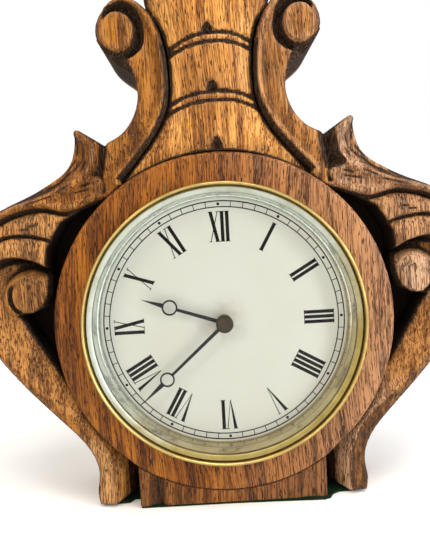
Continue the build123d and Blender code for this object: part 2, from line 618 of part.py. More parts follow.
with BuildPart() as cock_screw:
    disc(BACK_PLATE_Y + PLATE_THICK, COCK_Y + 1.4, 0.95, where=COCK_FOOT)
    disc(COCK_Y + 1.4, COCK_Y + 2.4, 2.0, where=COCK_FOOT)

with BuildPart() as regulator:
    with BuildSketch(at(COCK_Y + 2.4, BALANCE)):
        Circle(2.8)
        with BuildLine():
            Polyline((-1.1, 0), (-0.5, 11.0), (0.5, 11.0), (1.1, 0), close=True)
        make_face()
        Circle(0.9, mode=Mode.SUBTRACT)
    extrude(amount=0.7)

# ---------------------------------------------------------------- centre arbor, motion work and hands
with BuildPart() as centre_arbor:
    disc(-5.2, COVER_Y + 3.0, ARBOR)

with BuildPart() as cannon_pinion:
    toothed(4.6, 6.4, CENTRE, pinion_leaves(CANNON_TEETH, CANNON_MODULE, MINUTE_DIRECTION), ARBOR)
    tube(-4.6, 4.6, 1.6, ARBOR)
    tube(6.4, FRONT_PLATE_Y - 0.1, 1.6, ARBOR)

with BuildPart() as minute_wheel:
    outline = wheel_teeth(MINUTE_TEETH, CANNON_MODULE, MINUTE_DIRECTION + 180)
    spoked_wheel(5.0, 6.0, MINUTE, outline, 6.6, 2.4, 0.8 + PIVOT_ROOM, spokes=3)
    leaves = pinion_leaves(MINUTE_LEAVES, HOUR_MODULE, MINUTE_DIRECTION + 180)
    toothed(2.0, 5.0, MINUTE, leaves, 0.8 + PIVOT_ROOM)

with BuildPart() as minute_post:
    disc(1.6, FRONT_PLATE_Y, 0.8, where=MINUTE)

with BuildPart() as hour_wheel:
    outline = wheel_teeth(HOUR_TEETH, HOUR_MODULE, MINUTE_DIRECTION)
    toothed(2.4, 3.2, CENTRE, outline, 1.6 + PIVOT_ROOM)
    tube(-3.0, 2.4, 2.3, 1.6 + PIVOT_ROOM)


def pointed_hand(front, back, turn, hub, bore, ring_at, ring_outer, ring_inner, length, width):
    """A hand with an open ring near its tip, turned clockwise from twelve."""
    turned = Plane(
        origin=(0, DIAL_Y + back, DIAL_Z),
        x_dir=(cos(radians(turn)), 0, -sin(radians(turn))),
        z_dir=(0, -1, 0),
    )
    with BuildSketch(turned) as profile:
        Circle(hub)
        with BuildLine():
            Polyline((-0.7 * width, 0), (-0.5 * width, ring_at), (0.5 * width, ring_at), (0.7 * width, 0), close=True)
        make_face()
        with BuildLine():
            Polyline((-1.1 * width, ring_at), (0, length), (1.1 * width, ring_at), close=True)
        make_face()
        with Locations((0, ring_at)):
            Circle(ring_outer)
            Circle(ring_inner, mode=Mode.SUBTRACT)
        Circle(bore, mode=Mode.SUBTRACT)
    extrude(profile.sketch, amount=back - front)


with BuildPart() as hour_hand:
    pointed_hand(-3.6, -3.0, HOUR_HAND_ANGLE, 3.2, 1.6 + PIVOT_ROOM, 22.4, 3.1, 2.45, 34.0, 1.1)

with BuildPart() as minute_hand:
    pointed_hand(-5.2, -4.6, MINUTE_HAND_ANGLE, 2.6, ARBOR, 31.5, 2.9, 2.3, 45.7, 1.0)

with BuildPart() as hand_boss:
    disc(-7.3, -5.2, 3.4)
    fillet(hand_boss.edges().group_by(Axis.Y)[0], 0.8)

with BuildPart() as setting_knob:
    disc(COVER_Y + 2.6, COVER_Y + 8.0, 6.0)
    with BuildSketch(at(COVER_Y + 8.0)):
        with PolarLocations(6.4, 18):
            Circle(0.7)
    extrude(amount=5.4, mode=Mode.SUBTRACT)
    disc(COVER_Y + 2.6, COVER_Y + 3.0, ARBOR, mode=Mode.SUBTRACT)

# ---------------------------------------------------------------- one file for each piece
pieces = {
    "left_wing": left_wing,
    "right_wing": right_wing,
    "case_body": case_body,
    "wing_dowels": wing_dowels,
    "crest": crest,
    "crest_dowel": crest_dowel,
    "dial_disc": dial_disc,
    "base_block": base_block,
    "base_screws": base_screws,
    "felt_pad": felt_pad,
    "drum_can": drum_can,
    "bezel": bezel,
    "glass": glass,
    "sight_ring": sight_ring,
    "dial": dial,
    "dial_feet": dial_feet,
    "rear_ring": rear_ring,
    "rear_ring_screws": rear_ring_screws,
    "back_cover": back_cover,
    "front_plate": front_plate,
    "back_plate": back_plate,
    "pillars": pillars,
    "pillar_screws": pillar_screws,
    "barrel": barrel,
    "barrel_cover": barrel_cover,
    "mainspring": mainspring,
    "winding_arbor": winding_arbor,
    "ratchet_wheel": ratchet_wheel,
    "click": click,
    "click_screw": click_screw,
    "click_spring": click_spring,
    "winding_key": winding_key,
    "centre_arbor": centre_arbor,
    "centre_wheel": centre_wheel,
    "third_wheel": third_wheel,
    "fourth_wheel": fourth_wheel,
    "escape_wheel": escape_wheel,
    "pallet_lever": pallet_lever,
    "balance": balance,
    "hairspring": hairspring,
    "balance_cock": balance_cock,
    "cock_screw": cock_screw,
    "regulator": regulator,
    "cannon_pinion": cannon_pinion,
    "minute_wheel": minute_wheel,
    "minute_post": minute_post,
    "hour_wheel": hour_wheel,
    "hour_hand": hour_hand,
    "minute_hand": minute_hand,
    "hand_boss": hand_boss,
    "setting_knob": setting_knob,
}

os.makedirs("parts", exist_ok=True)
for name, piece in pieces.items():
    piece.part.label = name
    export_step(piece.part, f"parts/{name}.step")
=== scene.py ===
"""A carved oak mantel clock with a white dial, moon hands and a brass bezel.

Lengths in the carving sections are millimetres, seen from the front and counted from the hands'
axis on the dial's face: x to the right, z up, and depth positive towards the back. to_frame()
turns them into metres in the frame of the CAD model.
"""
from functools import reduce
from math import atan2, cos, pi, radians, sin, sqrt

import bmesh
import bpy
import numpy as np
from mathutils import Matrix, Vector, noise
from mathutils.geometry import delaunay_2d_cdt


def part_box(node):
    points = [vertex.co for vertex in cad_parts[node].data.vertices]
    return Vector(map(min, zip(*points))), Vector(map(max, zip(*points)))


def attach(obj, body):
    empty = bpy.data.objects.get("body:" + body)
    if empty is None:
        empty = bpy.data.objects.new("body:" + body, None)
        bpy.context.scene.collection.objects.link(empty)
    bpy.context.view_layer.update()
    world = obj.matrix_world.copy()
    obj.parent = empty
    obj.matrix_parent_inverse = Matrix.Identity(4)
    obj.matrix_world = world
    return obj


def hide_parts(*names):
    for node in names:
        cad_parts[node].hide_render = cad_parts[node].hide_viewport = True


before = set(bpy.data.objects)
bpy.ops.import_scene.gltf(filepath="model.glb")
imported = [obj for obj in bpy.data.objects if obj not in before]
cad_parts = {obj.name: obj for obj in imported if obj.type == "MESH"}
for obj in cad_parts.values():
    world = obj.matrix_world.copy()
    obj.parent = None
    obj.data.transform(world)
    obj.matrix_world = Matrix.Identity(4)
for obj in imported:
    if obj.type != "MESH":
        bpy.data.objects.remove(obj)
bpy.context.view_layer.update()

MM = 0.001


# ---------------------------------------------------------------- places taken from the frame
dial_low, dial_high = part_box("dial")
disc_low, disc_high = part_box("dial_disc")
_, wing_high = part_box("right_wing")
case_low, case_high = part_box("case_body")
crest_low, crest_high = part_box("crest")
base_low, base_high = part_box("base_block")
bezel_low, bezel_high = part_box("bezel")
felt_low, felt_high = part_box("felt_pad")
boss_low, boss_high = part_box("hand_boss")

AXIS = Vector(((dial_low.x + dial_high.x) / 2, dial_low.y, (dial_low.z + dial_high.z) / 2))


def depth_of(y):
    """Millimetres behind the dial's face of a place in the frame."""
    return (y - AXIS.y) / MM


def height_of(z):
    """Millimetres above the hands' axis of a place in the frame."""
    return (z - AXIS.z) / MM


def to_frame(x, depth, z):
    return Vector((AXIS.x + x * MM, AXIS.y + depth * MM, AXIS.z + z * MM))


SCREEN_RADIUS = (disc_high.x - disc_low.x) / 2 / MM
SCREEN_FRONT = depth_of(disc_low.y)
SCREEN_BACK = depth_of(disc_high.y)
WING_BACK = depth_of(wing_high.y)
WOOD_BACK = depth_of(case_high.y)
NECK_FRONT = depth_of(case_low.y)
NECK_TOP = height_of(case_high.z)
CREST_FRONT = depth_of(crest_low.y)
CREST_BACK = depth_of(crest_high.y)
CREST_TOP = height_of(crest_high.z)
BASE_FRONT = depth_of(base_low.y)
BASE_HALF = (base_high.x - base_low.x) / 2 / MM
FLOOR = height_of(base_low.z)
FELT_BOTTOM = height_of(felt_low.z)
BEZEL_RADIUS = (bezel_high.x - bezel_low.x) / 2 / MM
BEZEL_FRONT = depth_of(bezel_low.y)

WOOD_GAP = 0.2  # glue line between neighbouring pieces of wood
RIM_RADIUS = SCREEN_RADIUS + WOOD_GAP  # where wings, neck and base end beside the disc
HOUSING_RADIUS = 63.0
HOUSING_FLAT = 56.0
SEAT_RADIUS = HOUSING_RADIUS + WOOD_GAP
BORE_RADIUS = 52.1
WEB_DEPTH = 14.0  # floor of the dark recess between disc and wing
WING_FACE = 3.0  # how far the wings' flat wood stands in front of the dial's face


# ---------------------------------------------------------------- curves and distances
def smooth(points, step=0.7):
    """Evenly spaced points on the natural cubic spline through given points."""
    knots = np.array(points, float)
    gaps = np.hypot(*np.diff(knots, axis=0).T)
    along = np.concatenate(([0.0], np.cumsum(gaps)))
    count = len(knots)
    matrix = np.eye(count)
    bends = np.zeros((count, 2))
    for i in range(1, count - 1):
        matrix[i, i - 1:i + 2] = gaps[i - 1] / 6, (gaps[i - 1] + gaps[i]) / 3, gaps[i] / 6
        bends[i] = (knots[i + 1] - knots[i]) / gaps[i] - (knots[i] - knots[i - 1]) / gaps[i - 1]
    curvature = np.linalg.solve(matrix, bends)
    places = np.linspace(0, along[-1], max(2, round(along[-1] / step)) + 1)
    span = np.clip(np.searchsorted(along, places, side="right") - 1, 0, count - 2)
    gap = gaps[span][:, None]
    before = (along[span + 1] - places)[:, None] / gap
    after = 1 - before
    bow = (before**3 - before) * curvature[span] + (after**3 - after) * curvature[span + 1]
    return before * knots[span] + after * knots[span + 1] + bow * gap**2 / 6


def straight(start, end, step=0.7):
    """Evenly spaced points on a line."""
    start, end = np.array(start, float), np.array(end, float)
    share = np.linspace(0, 1, max(1, round(np.hypot(*(end - start)) / step)) + 1)[:, None]
    return start + (end - start) * share


def arc(radius, start, end, step=0.7):
    """Evenly spaced points on a circle round the hands' axis, between two directions in radians."""
    turn = np.linspace(start, end, max(2, round(abs(end - start) * radius / step)) + 1)
    return np.column_stack((radius * np.cos(turn), radius * np.sin(turn)))


def joined(*stretches):
    """Stretches end to end, each without its last point."""
    return np.concatenate([stretch[:-1] for stretch in stretches])


def closed(loop):
    return np.concatenate((loop, loop[:1]))


def nearest(points, line):
    """For each point: distance to a polyline, share of the way along it, and +1 on its left or -1."""
    starts, runs = line[:-1], np.diff(line, axis=0)
    lengths = np.hypot(*runs.T)
    reached = np.concatenate(([0.0], np.cumsum(lengths)))
    best = np.full(len(points), 1e9)
    share = np.zeros(len(points))
    side = np.ones(len(points))
    for i, (start, run) in enumerate(zip(starts, runs)):
        offset = points - start
        place = np.clip(offset @ run / max(lengths[i] ** 2, 1e-9), 0, 1)
        gap = np.hypot(*(offset - place[:, None] * run).T)
        closer = gap < best
        best[closer] = gap[closer]
        share[closer] = (reached[i] + place[closer] * lengths[i]) / reached[-1]
        cross = run[0] * offset[:, 1] - run[1] * offset[:, 0]
        side[closer] = np.where(cross[closer] >= 0, 1.0, -1.0)
    return best, share, side


def within(points, loop):
    """True for the points inside a closed loop."""
    inside = np.zeros(len(points), bool)
    x, z = points.T
    for (x0, z0), (x1, z1) in zip(loop, np.roll(loop, -1, axis=0)):
        crosses = (z0 > z) != (z1 > z)
        with np.errstate(divide="ignore", invalid="ignore"):
            inside ^= crosses & (x < (x1 - x0) * (z - z0) / (z1 - z0) + x0)
    return inside


def step_up(value, low, high):
    """0 below low, 1 above high, and a smooth rise between them."""
    share = np.clip((value - low) / (high - low), 0, 1)
    return share * share * (3 - 2 * share)


def bump(distance, width):
    """1 on a line, falling smoothly to 0 at a distance."""
    share = np.clip(np.abs(distance) / width, 0, 1)
    return (1 - share * share) ** 2


def trough(distance, half_width):
    """The round section of a gouge's cut: 1 in the middle and 0 from half_width out."""
    share = np.clip(distance / half_width, 0, 1)
    return np.sqrt(1 - share * share)


def rounded(distance, radius):
    """How far a rounded edge has fallen at a distance in from it."""
    share = 1 - np.clip(distance / radius, 0, 1)
    return radius * (1 - np.sqrt(1 - share * share))


def highest(*values):
    return reduce(np.maximum, values)


def ripple(points, size, seed):
    """Gentle unevenness between -1 and 1, like a surface left by hand tools."""
    return np.array([noise.noise(Vector((x / size, z / size, seed))) for x, z in points])


# ---------------------------------------------------------------- meshes
def mesh_piece(name, points, faces, *materials, weld=0.0):
    """A new object from points in the frame, with its faces turned outwards."""
    mesh = bpy.data.meshes.new(name)
    mesh.from_pydata(points, [], faces)
    for material in materials:
        mesh.materials.append(material)
    work = bmesh.new()
    work.from_mesh(mesh)
    if weld:
        bmesh.ops.remove_doubles(work, verts=work.verts, dist=weld)
    bmesh.ops.recalc_face_normals(work, faces=work.faces)
    work.to_mesh(mesh)
    work.free()
    piece = bpy.data.objects.new(name, mesh)
    bpy.context.scene.collection.objects.link(piece)
    return piece


def stand_in(piece, node, body="case"):
    """Puts a piece in the place of a node of the CAD model, and on a body."""
    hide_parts(node)
    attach(piece, body)


class Shell:
    """Patches and strips of faces, welded into one closed mesh."""

    def __init__(self):
        self.points = []
        self.faces = []
        self.slots = []
        self.marks = []

    def add(self, points, faces, marks, slot=0):
        """Adds points (x, depth, z), faces, and for each point (stain, wear)."""
        first = sum(len(block) for block in self.points)
        self.points.append(np.array(points, float))
        self.marks.append(np.broadcast_to(marks, (len(points), 2)))
        self.faces += [tuple(first + i for i in face) for face in faces]
        self.slots += [slot] * len(faces)

    def wall(self, rows, slot=0, is_ring=False):
        """Strips of quads between each row and the next. Each row is (points, marks)."""
        for one, other in zip(rows, rows[1:]):
            count = len(one[0])
            last = count if is_ring else count - 1
            faces = [(i, (i + 1) % count, count + (i + 1) % count, count + i) for i in range(last)]
            self.add(np.concatenate((one[0], other[0])), faces, np.concatenate((one[1], other[1])), slot)

    def flank(self, rim, flat, back, shares, shade_and_stain):
        """A side wall from a carved rim back to one depth, by shares of the way."""
        start = rim[0][:, 1]
        self.wall([rim, *(row(flat, start + (back - start) * share, shade_and_stain) for share in shares)])

    def rabbet(self, rim, inner, *levels, slot=0):
        """The walls behind a rim that the disc hides: back, in to the drum's seat, and back again
        to levels of (depth, stain)."""
        rows = [rim, row(rim[0][:, [0, 2]], SCREEN_BACK, 1), row(inner, SCREEN_BACK, 1)]
        self.wall(rows + [row(inner, *level) for level in levels], slot)

    def cheek(self, outer, inner, back, shade_and_stain, slot=0):
        """A flat end between the disc's back and another depth."""
        corners = ((outer, SCREEN_BACK), (inner, SCREEN_BACK), (inner, back), (outer, back))
        self.add([(x, depth, z) for (x, z), depth in corners], [(0, 1, 2, 3)], (shade_and_stain, 0), slot)

    def sheet(self, flat, depth, shade_and_stain, spacing=2.5, slot=0):
        """A flat fill of a loop at one depth."""
        points, faces = triangulate(flat, spacing)
        placed, marks = row(points, depth, shade_and_stain)
        self.add(placed, faces, marks, slot)

    def build(self, name, *materials, mirrored=False, sharp=35.0):
        points = np.concatenate(self.points)
        marks = np.concatenate(self.marks)
        if mirrored:
            points = points * (-1, 1, 1)
        _, first, index = np.unique(np.round(points, 3), axis=0, return_index=True, return_inverse=True)
        index = index.ravel()
        faces, slots = [], []
        for face, slot in zip(self.faces, self.slots):
            welded = [int(index[i]) for i in face]
            kept = [v for i, v in enumerate(welded) if v != welded[i - 1]]
            if len(set(kept)) > 2:
                faces.append(kept)
                slots.append(slot)
        piece = mesh_piece(name, [to_frame(*points[i]) for i in first], faces, *materials)
        mesh = piece.data
        mesh.polygons.foreach_set("material_index", slots)
        for column, label in enumerate(("shade_and_stain", "wear_and_light")):
            layer = mesh.attributes.new(label, "FLOAT", "POINT")
            layer.data.foreach_set("value", np.ascontiguousarray(marks[first, column], np.float32))
        mesh.shade_smooth()
        mesh.set_sharp_from_angle(angle=radians(sharp))
        return piece


def triangulate(loop, spacing):
    """Points and triangles that fill a loop: its own points first, then an even grid inside it."""
    low, high = loop.min(0), loop.max(0)
    rows = np.arange(low[1], high[1], spacing * sqrt(3) / 2)
    columns = np.arange(low[0], high[0], spacing)
    inner = np.array([[x + (i % 2) * spacing / 2, z] for i, z in enumerate(rows) for x in columns])
    inner = inner[within(inner, loop)]
    inner = inner[nearest(inner, closed(loop))[0] > spacing * 0.5]
    points = np.concatenate((loop, inner))
    found = delaunay_2d_cdt([Vector(p) for p in points], [], [list(range(len(loop)))], 1, 1e-6)
    source = [ids[0] if ids else -1 for ids in found[3]]
    assert len(found[0]) == len(points) and min(source) >= 0, "the loop crosses itself"
    return points, [tuple(source[i] for i in face) for face in found[2]]


def blurred(values, faces, rounds):
    """Values averaged with their neighbours on a mesh, over and over."""
    pairs = np.array([(face[i - 1], face[i]) for face in faces for i in range(len(face))])
    both = np.concatenate((pairs, pairs[:, ::-1]))
    count = len(values)
    share = np.maximum(np.bincount(pairs.ravel(), minlength=count), 1)
    for _ in range(rounds):
        total = np.bincount(both[:, 0], values[both[:, 1]], count)
        values = (values + total / share * 2) / 3
    return values


HOLLOW_FROM, PROUD_FROM = 0.22, 0.12  # how far off the blurred surface the painted shade of hollows and the painted highlight of proud edges begin
EDGE_WEAR_AND_HIGHLIGHT = 0.22


def carved_face(shell, loop, surface, spacing):
    """Adds a carved front and returns its rim. surface(points) gives (height towards the viewer,
    darkness for staining and painted shade, share of a paler colour for varnish gone and painted light)."""
    points, faces = triangulate(loop, spacing)
    height, shade_and_stain, worn_and_lit = surface(points)
    height = blurred(height, faces, 1)
    around = blurred(height, faces, 40)
    # hollows below the blurred surface are painted darker as shade, and proud edges paler as a painted
    # highlight, shared with varnish gone from them
    hollow = np.clip(around - height - HOLLOW_FROM, 0, 1)
    proud = np.clip((height - around - PROUD_FROM) / 0.9, 0, 1)
    colour_shift = highest(EDGE_WEAR_AND_HIGHLIGHT * proud, worn_and_lit) * (1 - shade_and_stain)
    marks = np.column_stack((np.clip(np.maximum(shade_and_stain, hollow), 0, 1), colour_shift))
    shell.add(np.column_stack((points[:, 0], -height, points[:, 1])), faces, marks)
    rim = len(loop)
    return np.column_stack((loop[:, 0], -height[:rim], loop[:, 1])), marks[:rim]


def row(flat, depth, shade_and_stain=0.0):
    """Points at a depth, with some stain and no wear."""
    depth, shade_and_stain = np.broadcast_to(depth, len(flat)), np.broadcast_to(shade_and_stain, len(flat))
    return np.column_stack((flat[:, 0], depth, flat[:, 1])), np.column_stack((shade_and_stain, 0 * shade_and_stain))


def stretch_of(rim, marks, picked):
    """Part of a closed rim, as a row."""
    picked = picked % len(rim)
    return rim[picked], marks[picked]


# ---------------------------------------------------------------- materials
class Material:
    """A node material under construction. Positions are the object's own, in metres."""

    def __init__(self, name):
        self.material = bpy.data.materials.new(name)
        self.material.use_nodes = True
        self.tree = self.material.node_tree
        self.shader = self.tree.nodes["Principled BSDF"]
        self.place = self.tree.nodes.new("ShaderNodeTexCoord").outputs["Object"]

    def put(self, socket, value):
        """Links a source to a socket, or gives it a number, a vector or a colour."""
        if isinstance(value, bpy.types.NodeSocket):
            self.tree.links.new(value, socket)
        else:
            socket.default_value = (*value, 1.0) if socket.type == "RGBA" else value

    def node(self, kind, inputs, **settings):
        made = self.tree.nodes.new("ShaderNode" + kind)
        for key, value in settings.items():
            setattr(made, key, value)
        for key, value in inputs.items():
            self.put(made.inputs[key], value)
        return made

    def stretched(self, scale, shift=(0, 0, 0), source=None):
        """The position, moved and scaled along each axis."""
        inputs = {"Location": shift, "Scale": scale, "Vector": source or self.place}
        return self.node("Mapping", inputs).outputs["Vector"]

    def noise(self, scale, detail=2.0, roughness=0.5, source=None):
        """Clouds that are finer with a larger scale, which is one number or one for each axis."""
        where = self.stretched(scale if isinstance(scale, tuple) else (scale, scale, scale), source=source)
        inputs = {"Vector": where, "Scale": 1.0, "Detail": detail, "Roughness": roughness}
        return self.node("TexNoise", inputs).outputs["Fac"]

    def between(self, value, low, high, to_low=0.0, to_high=1.0):
        """A value carried from one range to another, and kept inside it."""
        ends = {"From Min": low, "From Max": high, "To Min": to_low, "To Max": to_high}
        return self.node("MapRange", {"Value": value, **ends}).outputs["Result"]

    def maths(self, operation, one, other=0.0):
        return self.node("Math", {0: one, 1: other}, operation=operation).outputs["Value"]

    def times(self, one, other):
        return self.maths("MULTIPLY", one, other)

    def plus(self, one, other):
        return self.maths("ADD", one, other)

    def from_axis(self, axis):
        """The distance from the hands' axis along X or Z."""
        place = self.node("SeparateXYZ", {"Vector": self.place}).outputs[axis]
        return self.maths("SUBTRACT", place, {"X": AXIS.x, "Z": AXIS.z}[axis])

    def attribute(self, name):
        return self.node("Attribute", {}, attribute_name=name).outputs["Fac"]

    def mix(self, share, one, other):
        """A colour mixed from two, each a colour or a socket."""
        return self.node("Mix", {0: share, 6: one, 7: other}, data_type="RGBA").outputs[2]

    def ramp(self, value, stops):
        made = self.node("ValToRGB", {"Fac": value})
        while len(made.color_ramp.elements) < len(stops):
            made.color_ramp.elements.new(0.5)
        for element, (place, colour) in zip(made.color_ramp.elements, stops):
            element.position = place
            element.color = (*colour, 1.0)
        return made.outputs["Color"]

    def bump(self, *heights):
        """A normal from (height, strength, distance in metres), coarsest first."""
        normal = {}
        for height, strength, distance in heights:
            inputs = {"Height": height, "Strength": strength, "Distance": distance, **normal}
            normal = {"Normal": self.node("Bump", inputs).outputs["Normal"]}
        self.set(**normal)

    def set(self, **values):
        """Values or sources for the shader, by socket name with underscores."""
        for key, value in values.items():
            self.put(self.shader.inputs[key.replace("_", " ")], value)


VARNISH = 0.08
# a pale oak for edges where the varnish has gone and for painted light on faces that catch it
WORN_AND_LIT_OAK = (0.52, 0.34, 0.22)
PURPLE_PATCH = (0.095, 0.036, 0.016)
PORE = (0.022, 0.007, 0.003)
# dark browns for staining with painted shade in hollows, and near-black for deep painted shade with grime
SHADE_AND_STAIN_COLOUR = (0.050, 0.020, 0.008)
DEEP_SHADE_AND_GRIME, DUSTY_DEEP_SHADE_AND_GRIME = (0.009, 0.005, 0.003), (0.085, 0.052, 0.032)


def oak(name, shift, light, mid, dark, length, patch=0.4, right_light_share=0.0, worn_and_lit_colour=WORN_AND_LIT_OAK):
    """Varnished oak: upright streaks and open pores, purplish patches, and darkness in the hollows that is
    partly staining and partly painted shade.
    Faces that catch the light are painted paler as painted light, shared with edges where the varnish has
    gone, and a share given for the right side paints the colour paler there as light from the right."""
    wood = Material(name)
    place = wood.stretched((1, 1, 1), shift)
    sway = wood.between(wood.noise((14, 14, 9), 1.0, source=place), 0, 1, -0.006, 0.006)
    pull = wood.node("CombineXYZ", {"X": sway}).outputs["Vector"]
    grain = wood.node("VectorMath", {0: place, 1: pull}, operation="ADD").outputs["Vector"]

    bands = wood.noise((230, 140, 7), 3.0, 0.6, grain)
    streaks = wood.noise((1850, 1250, length), 3.0, 0.6, grain)
    fibres = wood.noise((2600, 2000, length), 2.0, 0.6, grain)
    pores = wood.noise((2500, 2500, 300), 1.0, 0.5, grain)
    patches = wood.noise((42, 42, 20), 3.0, 0.6, place)
    uneven = wood.noise((700, 700, 320), 3.0, 0.6, place)
    dense = wood.between(bands, 0.40, 0.62, 0.0, 0.07)
    pits = wood.between(wood.plus(pores, dense), 0.61, 0.66)
    veins = wood.between(wood.plus(streaks, dense), 0.505, 0.585)
    shade_and_stain = wood.attribute("shade_and_stain")
    # deep painted shade with grime where the darkness mark is strong, broken up unevenly; the varnish coat is
    # thinner there
    deep_shade_and_grime = wood.between(wood.plus(shade_and_stain, wood.between(uneven, 0.3, 0.7, -0.22, 0.22)), 0.34, 0.62)

    tone = wood.plus(wood.between(fibres, 0.3, 0.7, 0.0, 0.4), wood.between(bands, 0.35, 0.66, 0.6, 0.0))
    colour = wood.ramp(tone, ((0.12, dark), (0.45, mid), (0.82, light)))
    right_side_light = wood.between(wood.from_axis("X"), -0.01, 0.06, 0.0, right_light_share)
    # over the grain: painted light shared with varnish gone, purple patches, streaks, pores, then staining
    # with painted shade and deep painted shade
    layers = (
        (wood.maths("MAXIMUM", wood.times(wood.attribute("wear_and_light"), 0.80), right_side_light), worn_and_lit_colour),
        (wood.between(patches, 0.54, 0.72, 0.0, patch), PURPLE_PATCH),
        (wood.times(veins, 0.74), dark),
        (wood.times(pits, 0.85), PORE),
        (wood.between(shade_and_stain, 0.02, 0.60, 0.0, 0.55), SHADE_AND_STAIN_COLOUR),
        (wood.times(deep_shade_and_grime, 0.95), wood.mix(wood.between(pores, 0.50, 0.66), DEEP_SHADE_AND_GRIME, DUSTY_DEEP_SHADE_AND_GRIME)),
    )
    for share, over in layers:
        colour = wood.mix(share, colour, over)
    gloss = wood.plus(wood.between(fibres, 0.3, 0.7, 0.38, 0.50), wood.times(pits, 0.25))
    wood.set(
        Base_Color=colour,
        Roughness=wood.plus(gloss, wood.times(shade_and_stain, 0.45)),
        Coat_Weight=wood.between(deep_shade_and_grime, 0.0, 1.0, VARNISH, 0.0),
        Specular_IOR_Level=0.12,
        Coat_Roughness=0.26,
        Coat_IOR=1.45,
    )
    wood.bump(
        (wood.noise((160, 160, 90), source=place), 0.30, 0.0006),
        (wood.maths("SUBTRACT", fibres, wood.plus(pits, veins)), 0.42, 0.00022),
    )
    return wood.material


def recess_shade_oak(name):
    """The floor and walls of a carved recess: near-black brown over rough tool marks, partly dark staining
    and partly painted shade for the deep gap.
    """
    made = Material(name)
    grain = made.noise((900, 900, 90), 3.0)
    colour = made.mix(made.between(grain, 0.35, 0.7), (0.006, 0.004, 0.003), (0.018, 0.009, 0.005))
    made.set(Base_Color=colour, Roughness=made.between(grain, 0.3, 0.7, 0.75, 0.95))
    made.set(Specular_IOR_Level=0.12)
    made.bump((grain, 0.5, 0.0003))
    return made.material


def metal(name, colour, tarnish, roughness, amount=0.5, scale=90.0, brushed=900):
    """Metal with uneven tarnish and roughness, and fine scratches if brushed gives three scales."""
    made = Material(name)
    share = made.between(made.noise(scale, 4.0, 0.65), 0.38, 0.68, 0.0, amount)
    fine = made.noise(brushed)
    rough = made.between(fine, 0.3, 0.7, roughness * 0.8, roughness * 1.3)
    made.set(
        Base_Color=made.mix(share, colour, tarnish),
        Roughness=made.plus(rough, made.times(share, 0.25)),
        Metallic=1.0,
    )
    made.bump((fine, 0.12, 0.00008))
    return made.material


def enamel(name, colour, aged):
    """White painted metal: faint clouds of age, tiny specks and a smudge round the hands' axis."""
    made = Material(name)
    cloud = made.noise(30.0, 3.0)
    shade = made.mix(made.between(cloud, 0.35, 0.75, 0.0, 0.7), colour, aged)
    specks = made.between(made.noise(850, 1.0), 0.76, 0.80, 0.0, 0.5)
    shade = made.mix(specks, shade, (0.35, 0.30, 0.22))
    squares = [made.times(offset, offset) for offset in (made.from_axis("X"), made.from_axis("Z"))]
    reach = made.between(made.maths("SQRT", made.plus(*squares)), 0.0035, 0.011, 0.42, 0.0)
    smudge = made.times(reach, made.between(made.noise(330, 3.0), 0.35, 0.65))
    made.set(
        Base_Color=made.mix(smudge, shade, (0.46, 0.36, 0.25)),
        Roughness=made.between(cloud, 0.3, 0.7, 0.34, 0.46),
    )
    made.bump((made.noise(240), 0.06, 0.0001))
    return made.material


def lacquer(name, colour, other, roughness, shine):
    """Dark paint or blued steel with a slight change of colour."""
    made = Material(name)
    cloud = made.noise(220)
    made.set(
        Base_Color=made.mix(made.between(cloud, 0.3, 0.7), colour, other),
        Roughness=made.between(cloud, 0.3, 0.7, roughness, roughness * 1.4),
        Specular_IOR_Level=shine,
    )
    made.bump((made.noise(1400), 0.1, 0.00004))
    return made.material


def painted_reflection_brass(name, cool_reflection, brass, roughness):
    """Brass painted silvery towards the upper left and brass-coloured towards the lower right, with a ragged
    border, as painted reflection. Each colour has two shades.
    """
    made = Material(name)
    down = made.maths("SUBTRACT", made.times(made.from_axis("X"), 0.6), made.from_axis("Z"))
    cloud = made.noise(110, 4.0, 0.65)
    ragged = made.plus(down, made.between(cloud, 0.3, 0.7, -0.012, 0.012))
    shade = made.between(cloud, 0.35, 0.7)
    colour_shift = made.between(ragged, -0.012, 0.040)
    made.set(
        Base_Color=made.mix(colour_shift, made.mix(shade, *cool_reflection), made.mix(shade, *brass)),
        Roughness=made.between(cloud, 0.3, 0.7, roughness, roughness * 1.4),
        Metallic=0.75,
    )
    return made.material


def felt_cloth(name):
    """Dark green baize: short tangled fibres."""
    made = Material(name)
    tufts = made.noise(2600, 4.0, 0.75)
    colour = made.ramp(tufts, ((0.3, (0.001, 0.007, 0.003)), (0.7, (0.006, 0.024, 0.010))))
    dusty = made.between(made.noise(160), 0.4, 0.8, 0.0, 0.4)
    made.set(
        Base_Color=made.mix(dusty, colour, (0.028, 0.034, 0.018)),
        Roughness=made.between(tufts, 0.3, 0.7, 0.85, 1.0),
        Specular_IOR_Level=0.06,
    )
    made.bump((tufts, 0.7, 0.0004))
    return made.material


def crystal(name):
    """Thin glass: clear, with reflections that grow towards grazing sight."""
    made = Material(name)
    made.tree.nodes.remove(made.shader)
    clear = made.node("BsdfTransparent", {"Color": (0.985, 0.992, 0.985)}).outputs["BSDF"]
    smear = made.between(made.noise(60, 3.0), 0.35, 0.7, 0.0, 0.05)
    gloss = made.node("BsdfGlossy", {"Roughness": smear}).outputs["BSDF"]
    edge = made.node("Fresnel", {"IOR": 1.2}).outputs["Fac"]
    mixed = made.node("MixShader", {"Fac": edge, 1: clear, 2: gloss}).outputs["Shader"]
    made.put(made.tree.nodes["Material Output"].inputs["Surface"], mixed)
    return made.material


OAK_NECK = oak("oak_neck", (0.011, 0.0, 0.0), (0.68, 0.325, 0.085), (0.50, 0.208, 0.042),
               (0.155, 0.050, 0.009), 28)
